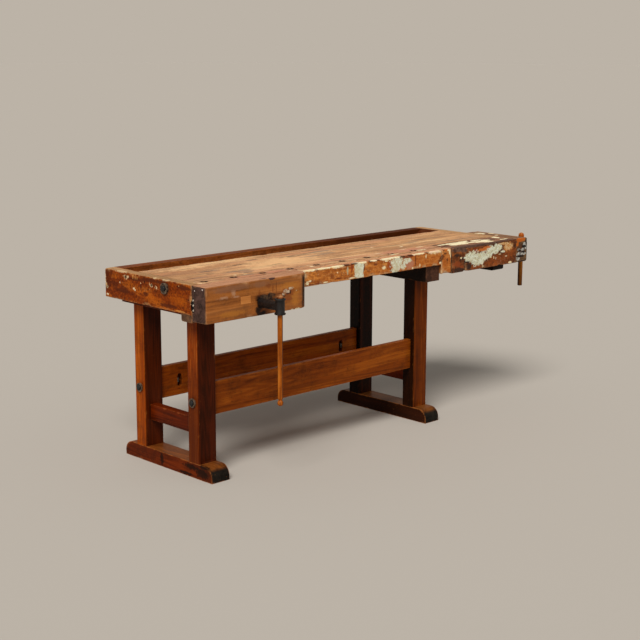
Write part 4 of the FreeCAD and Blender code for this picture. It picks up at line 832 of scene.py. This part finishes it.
def spunThread(axisPoint, way, start, end, plan):
    bm = bmesh.new()
    out = Vector((0, 0, 1))
    pitch, crest, root = plan["pitch"], plan["radius"], plan["radius"] - plan["depth"]
    profile = [(0.0, root), (0.34, root), (0.46, crest), (0.84, crest), (1.0, root)]
    verts = [bm.verts.new(axisPoint + way * (start + share * pitch) + out * radius) for share, radius in profile]
    edges = [bm.edges.new(pair) for pair in zip(verts, verts[1:])]
    turns = math.ceil((end - start) / pitch) + 2
    bmesh.ops.spin(bm, geom=verts + edges, cent=axisPoint, axis=way, dvec=way * (pitch / plan["steps"]),
                   angle=math.tau * turns, steps=plan["steps"] * turns, use_merge=False)
    bmesh.ops.remove_doubles(bm, verts=bm.verts[:], dist=1e-6)
    for at, side in ((start + pitch * plan["lead"], -1.0), (end, 1.0)):
        wholeBisect(bm, axisPoint + way * at, way * side, clear_outer=True)
        rim = [edge for edge in bm.edges if edge.is_boundary and
               all(abs((vert.co - axisPoint).dot(way) - at) < 1e-5 for vert in edge.verts)]
        bmesh.ops.edgeloop_fill(bm, edges=rim)
    bmesh.ops.recalc_face_normals(bm, faces=bm.faces[:])
    return bm


for node, plan in screws.items():
    low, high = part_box(node)
    way = plan["way"]
    collarLow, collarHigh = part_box(plan["collar"])
    axisPoint = (collarLow + collarHigh) / 2
    plainEnd = abs((collarHigh - collarLow).dot(way)) / 2 + plan["gap"]
    tip = abs(((high if way.y > 0 else low) - axisPoint).dot(way))
    bm = mergedMesh(node)
    wholeBisect(bm, axisPoint + way * plainEnd, way, clear_outer=True)
    rim = [edge for edge in bm.edges if edge.is_boundary]
    bmesh.ops.edgeloop_fill(bm, edges=rim)
    arrises = [edge for edge in bm.edges if len(edge.link_faces) == 2 and edge.calc_face_angle() > hubAngle]
    bmesh.ops.bevel(bm, geom=arrises, offset=hubRound, offset_type="OFFSET", segments=2, profile=0.5,
                    affect="EDGES", clamp_overlap=True, material=-1)
    start = plainEnd - plan["pitch"] * plan["lead"] - plan["sink"]
    thread = spunThread(axisPoint, way, start, tip, plan)
    joined = bpy.data.meshes.new(node + "_thread")
    thread.to_mesh(joined)
    thread.free()
    bm.from_mesh(joined)
    bpy.data.meshes.remove(joined)
    piece = finishMesh(bm, "threaded_" + node, finishes["blackIron"], 32.0)
    standFor(piece, node)
print("vise screws threaded:", len(screws))

# Handles and their caps, turned from profiles of height above the lowest point and radius
turnedSteps, turnedEndRound, waverScale = 40, 1 * mm, 60.0
turned = {
    "front_vise_handle": {"finish": "handleWood", "waver": 0.35 * mm, "profile":
                          [(0, 0), (0.6, 4.6), (2.2, 8.2), (5, 10.9), (9, 12.3), (12.5, 12.5), (16, 12.2),
                           (19.5, 10.8), (22, 9.2), (23.4, 8.1), (25, 7.9), (27, 8.3), (29, 9.4), (31.5, 10.4),
                           (34, 10.5), (36, 10.1), (38, 10.4), (60, 10.6), (120, 10.7), (200, 10.8), (300, 10.9),
                           (400, 11.0)]},
    "front_handle_cap": {"finish": "knobWood", "waver": 0.3 * mm, "profile":
                         [(0, 0), (0, 13.2), (0.8, 14.2), (2.4, 14.5), (6.4, 14.4), (8.4, 13.6), (9.6, 11.8),
                          (10.2, 9.6), (11.4, 8.8), (13.4, 7.6), (14.6, 5.0), (15.2, 0)]},
    "tail_vise_handle": {"finish": "tailHandleWood", "waver": 0.35 * mm, "profile":
                         [(0, 0), (0, 10.2), (0.8, 11.2), (2.2, 11.7), (14, 11.7), (16, 11.3), (18, 11.7), (60, 11.8),
                          (120, 11.9), (200, 12.0)]},
    "tail_handle_cap": {"finish": "tailKnobWood", "waver": 0.3 * mm, "profile":
                        [(0, 0), (0, 12.8), (1.0, 13.9), (3.0, 14.5), (9, 14.5), (10.4, 13.7), (11.8, 14.4),
                         (18, 14.3), (24, 13.4), (28.4, 11.0), (31.4, 7.4), (32.7, 3.6), (33, 0)]},
}
for order, (node, plan) in enumerate(turned.items()):
    low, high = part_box(node)
    centre = Vector(((low.x + high.x) / 2, (low.y + high.y) / 2, low.z))
    height = high.z - low.z
    profile = [(rise * mm, radius * mm) for rise, radius in plan["profile"]]
    if profile[-1][1] > 0:               # a bar goes on to its hidden end, under the cap
        radius = profile[-1][1]
        profile += [(height - turnedEndRound, radius), (height, radius - turnedEndRound), (height, 0.0)]
    bm = bmesh.new()
    verts = [bm.verts.new(centre + Vector((radius, 0, rise))) for rise, radius in profile]
    edges = [bm.edges.new(pair) for pair in zip(verts, verts[1:])]
    bmesh.ops.spin(bm, geom=verts + edges, cent=centre, axis=(0, 0, 1), dvec=(0, 0, 0), angle=math.tau,
                   steps=turnedSteps, use_merge=True)
    bmesh.ops.remove_doubles(bm, verts=bm.verts[:], dist=1e-6)
    bmesh.ops.recalc_face_normals(bm, faces=bm.faces[:])
    bm.normal_update()
    seed = Vector((3.1 * order, 7.7, 1.9))
    for vert in bm.verts:
        vert.co -= vert.normal * plan["waver"] * (0.5 + 0.5 * noise.noise(vert.co * waverScale + seed))
    piece = finishMesh(bm, "turned_" + node, finishes[plan["finish"]], 45.0)
    standFor(piece, node)
print("handles turned:", len(turned))

# Nodes that keep their CAD shape
kept = {
    "handleWood": ["locating_pegs"],
    "paleBlock": ["chop_inlay"],
    "blackIron": ["front_vise_nut", "tail_vise_nut"],
    "slotIron": ["front_guide_plate", "end_cap_bolts", "stretcher_bolts"],
    "ringIron": ["end_cap_washers", "stretcher_washers"],
    "brightSteel": ["guide_plate_screws"],
}
dressed = list(wooden) + list(screws) + list(turned)
plain = [name for name in nodes if name not in dressed and all(name not in group for group in kept.values())]
kept["darkSteel"] = plain
for finish, members in kept.items():
    for name in members:
        mesh = nodes[name].data
        mesh.materials.clear()
        mesh.materials.append(finishes[finish])
print("kept nodes finished:", sum(len(members) for members in kept.values()))

# Floor, light and camera: one large soft light from the upper left, and a pale surround
studio = {"floorSize": 400.0, "floor": (188, 179, 167), "floorRough": 0.95, "floorShine": 0.1,
          "backdrop": (188, 179, 167), "ambient": 0.28,
          "key": 2.9, "keyAngle": 28.0, "keyFrom": (-0.52, -0.36, 0.77)}
floorMesh = bmesh.new()
bmesh.ops.create_grid(floorMesh, x_segments=1, y_segments=1, size=studio["floorSize"] / 2)
floor = finishMesh(floorMesh, "floor", floorFinish("floorPaint", studio))

lamp = bpy.data.lights.new("keyLamp", "SUN")
lamp.energy = studio["key"]
lamp.angle = math.radians(studio["keyAngle"])
holder = bpy.data.objects.new("keyLamp", lamp)
bpy.context.scene.collection.objects.link(holder)
holder.rotation_euler = Vector(studio["keyFrom"]).to_track_quat("Z", "Y").to_euler()

world = bpy.data.worlds.new("studioWorld")
bpy.context.scene.world = world
world.use_nodes = True
path = world.node_tree.nodes.new("ShaderNodeLightPath")
seen = Wire(world.node_tree, path.outputs["Is Camera Ray"])
seen = seen.highest(Wire(world.node_tree, path.outputs["Is Glossy Ray"]))
seen = seen.highest(Wire(world.node_tree, path.outputs["Is Transmission Ray"]))
ambient = (*(studio["ambient"],) * 3, 1.0)
background = world.node_tree.nodes["Background"]
world.node_tree.links.new(seen.blend(ambient, tone(studio["backdrop"])).socket, background.inputs["Color"])

# The camera stands where the photographer stood
view = {"place": (-4.28669, -4.21235, 1.71573), "azimuth": -44.083, "down": 11.416, "roll": 0.163, "lens": 74.22}
azimuth, down, roll = (math.radians(view[key]) for key in ("azimuth", "down", "roll"))
back = Vector((math.sin(azimuth) * math.cos(down), -math.cos(azimuth) * math.cos(down), math.sin(down)))
level = Vector((math.cos(azimuth), math.sin(azimuth), 0.0))
upright = back.cross(level)
right = level * math.cos(roll) + upright * math.sin(roll)
above = upright * math.cos(roll) - level * math.sin(roll)
lens = bpy.data.cameras.new("photoCamera")
lens.lens = view["lens"]
lens.sensor_width = 36.0
lens.clip_end = studio["floorSize"]
camera = bpy.data.objects.new("photoCamera", lens)
bpy.context.scene.collection.objects.link(camera)
camera.matrix_world = Matrix.Translation(view["place"]) @ Matrix((right, above, back)).transposed().to_4x4()
bpy.context.scene.camera = camera
bpy.context.scene.view_settings.view_transform = "Standard"
print("studio ready")
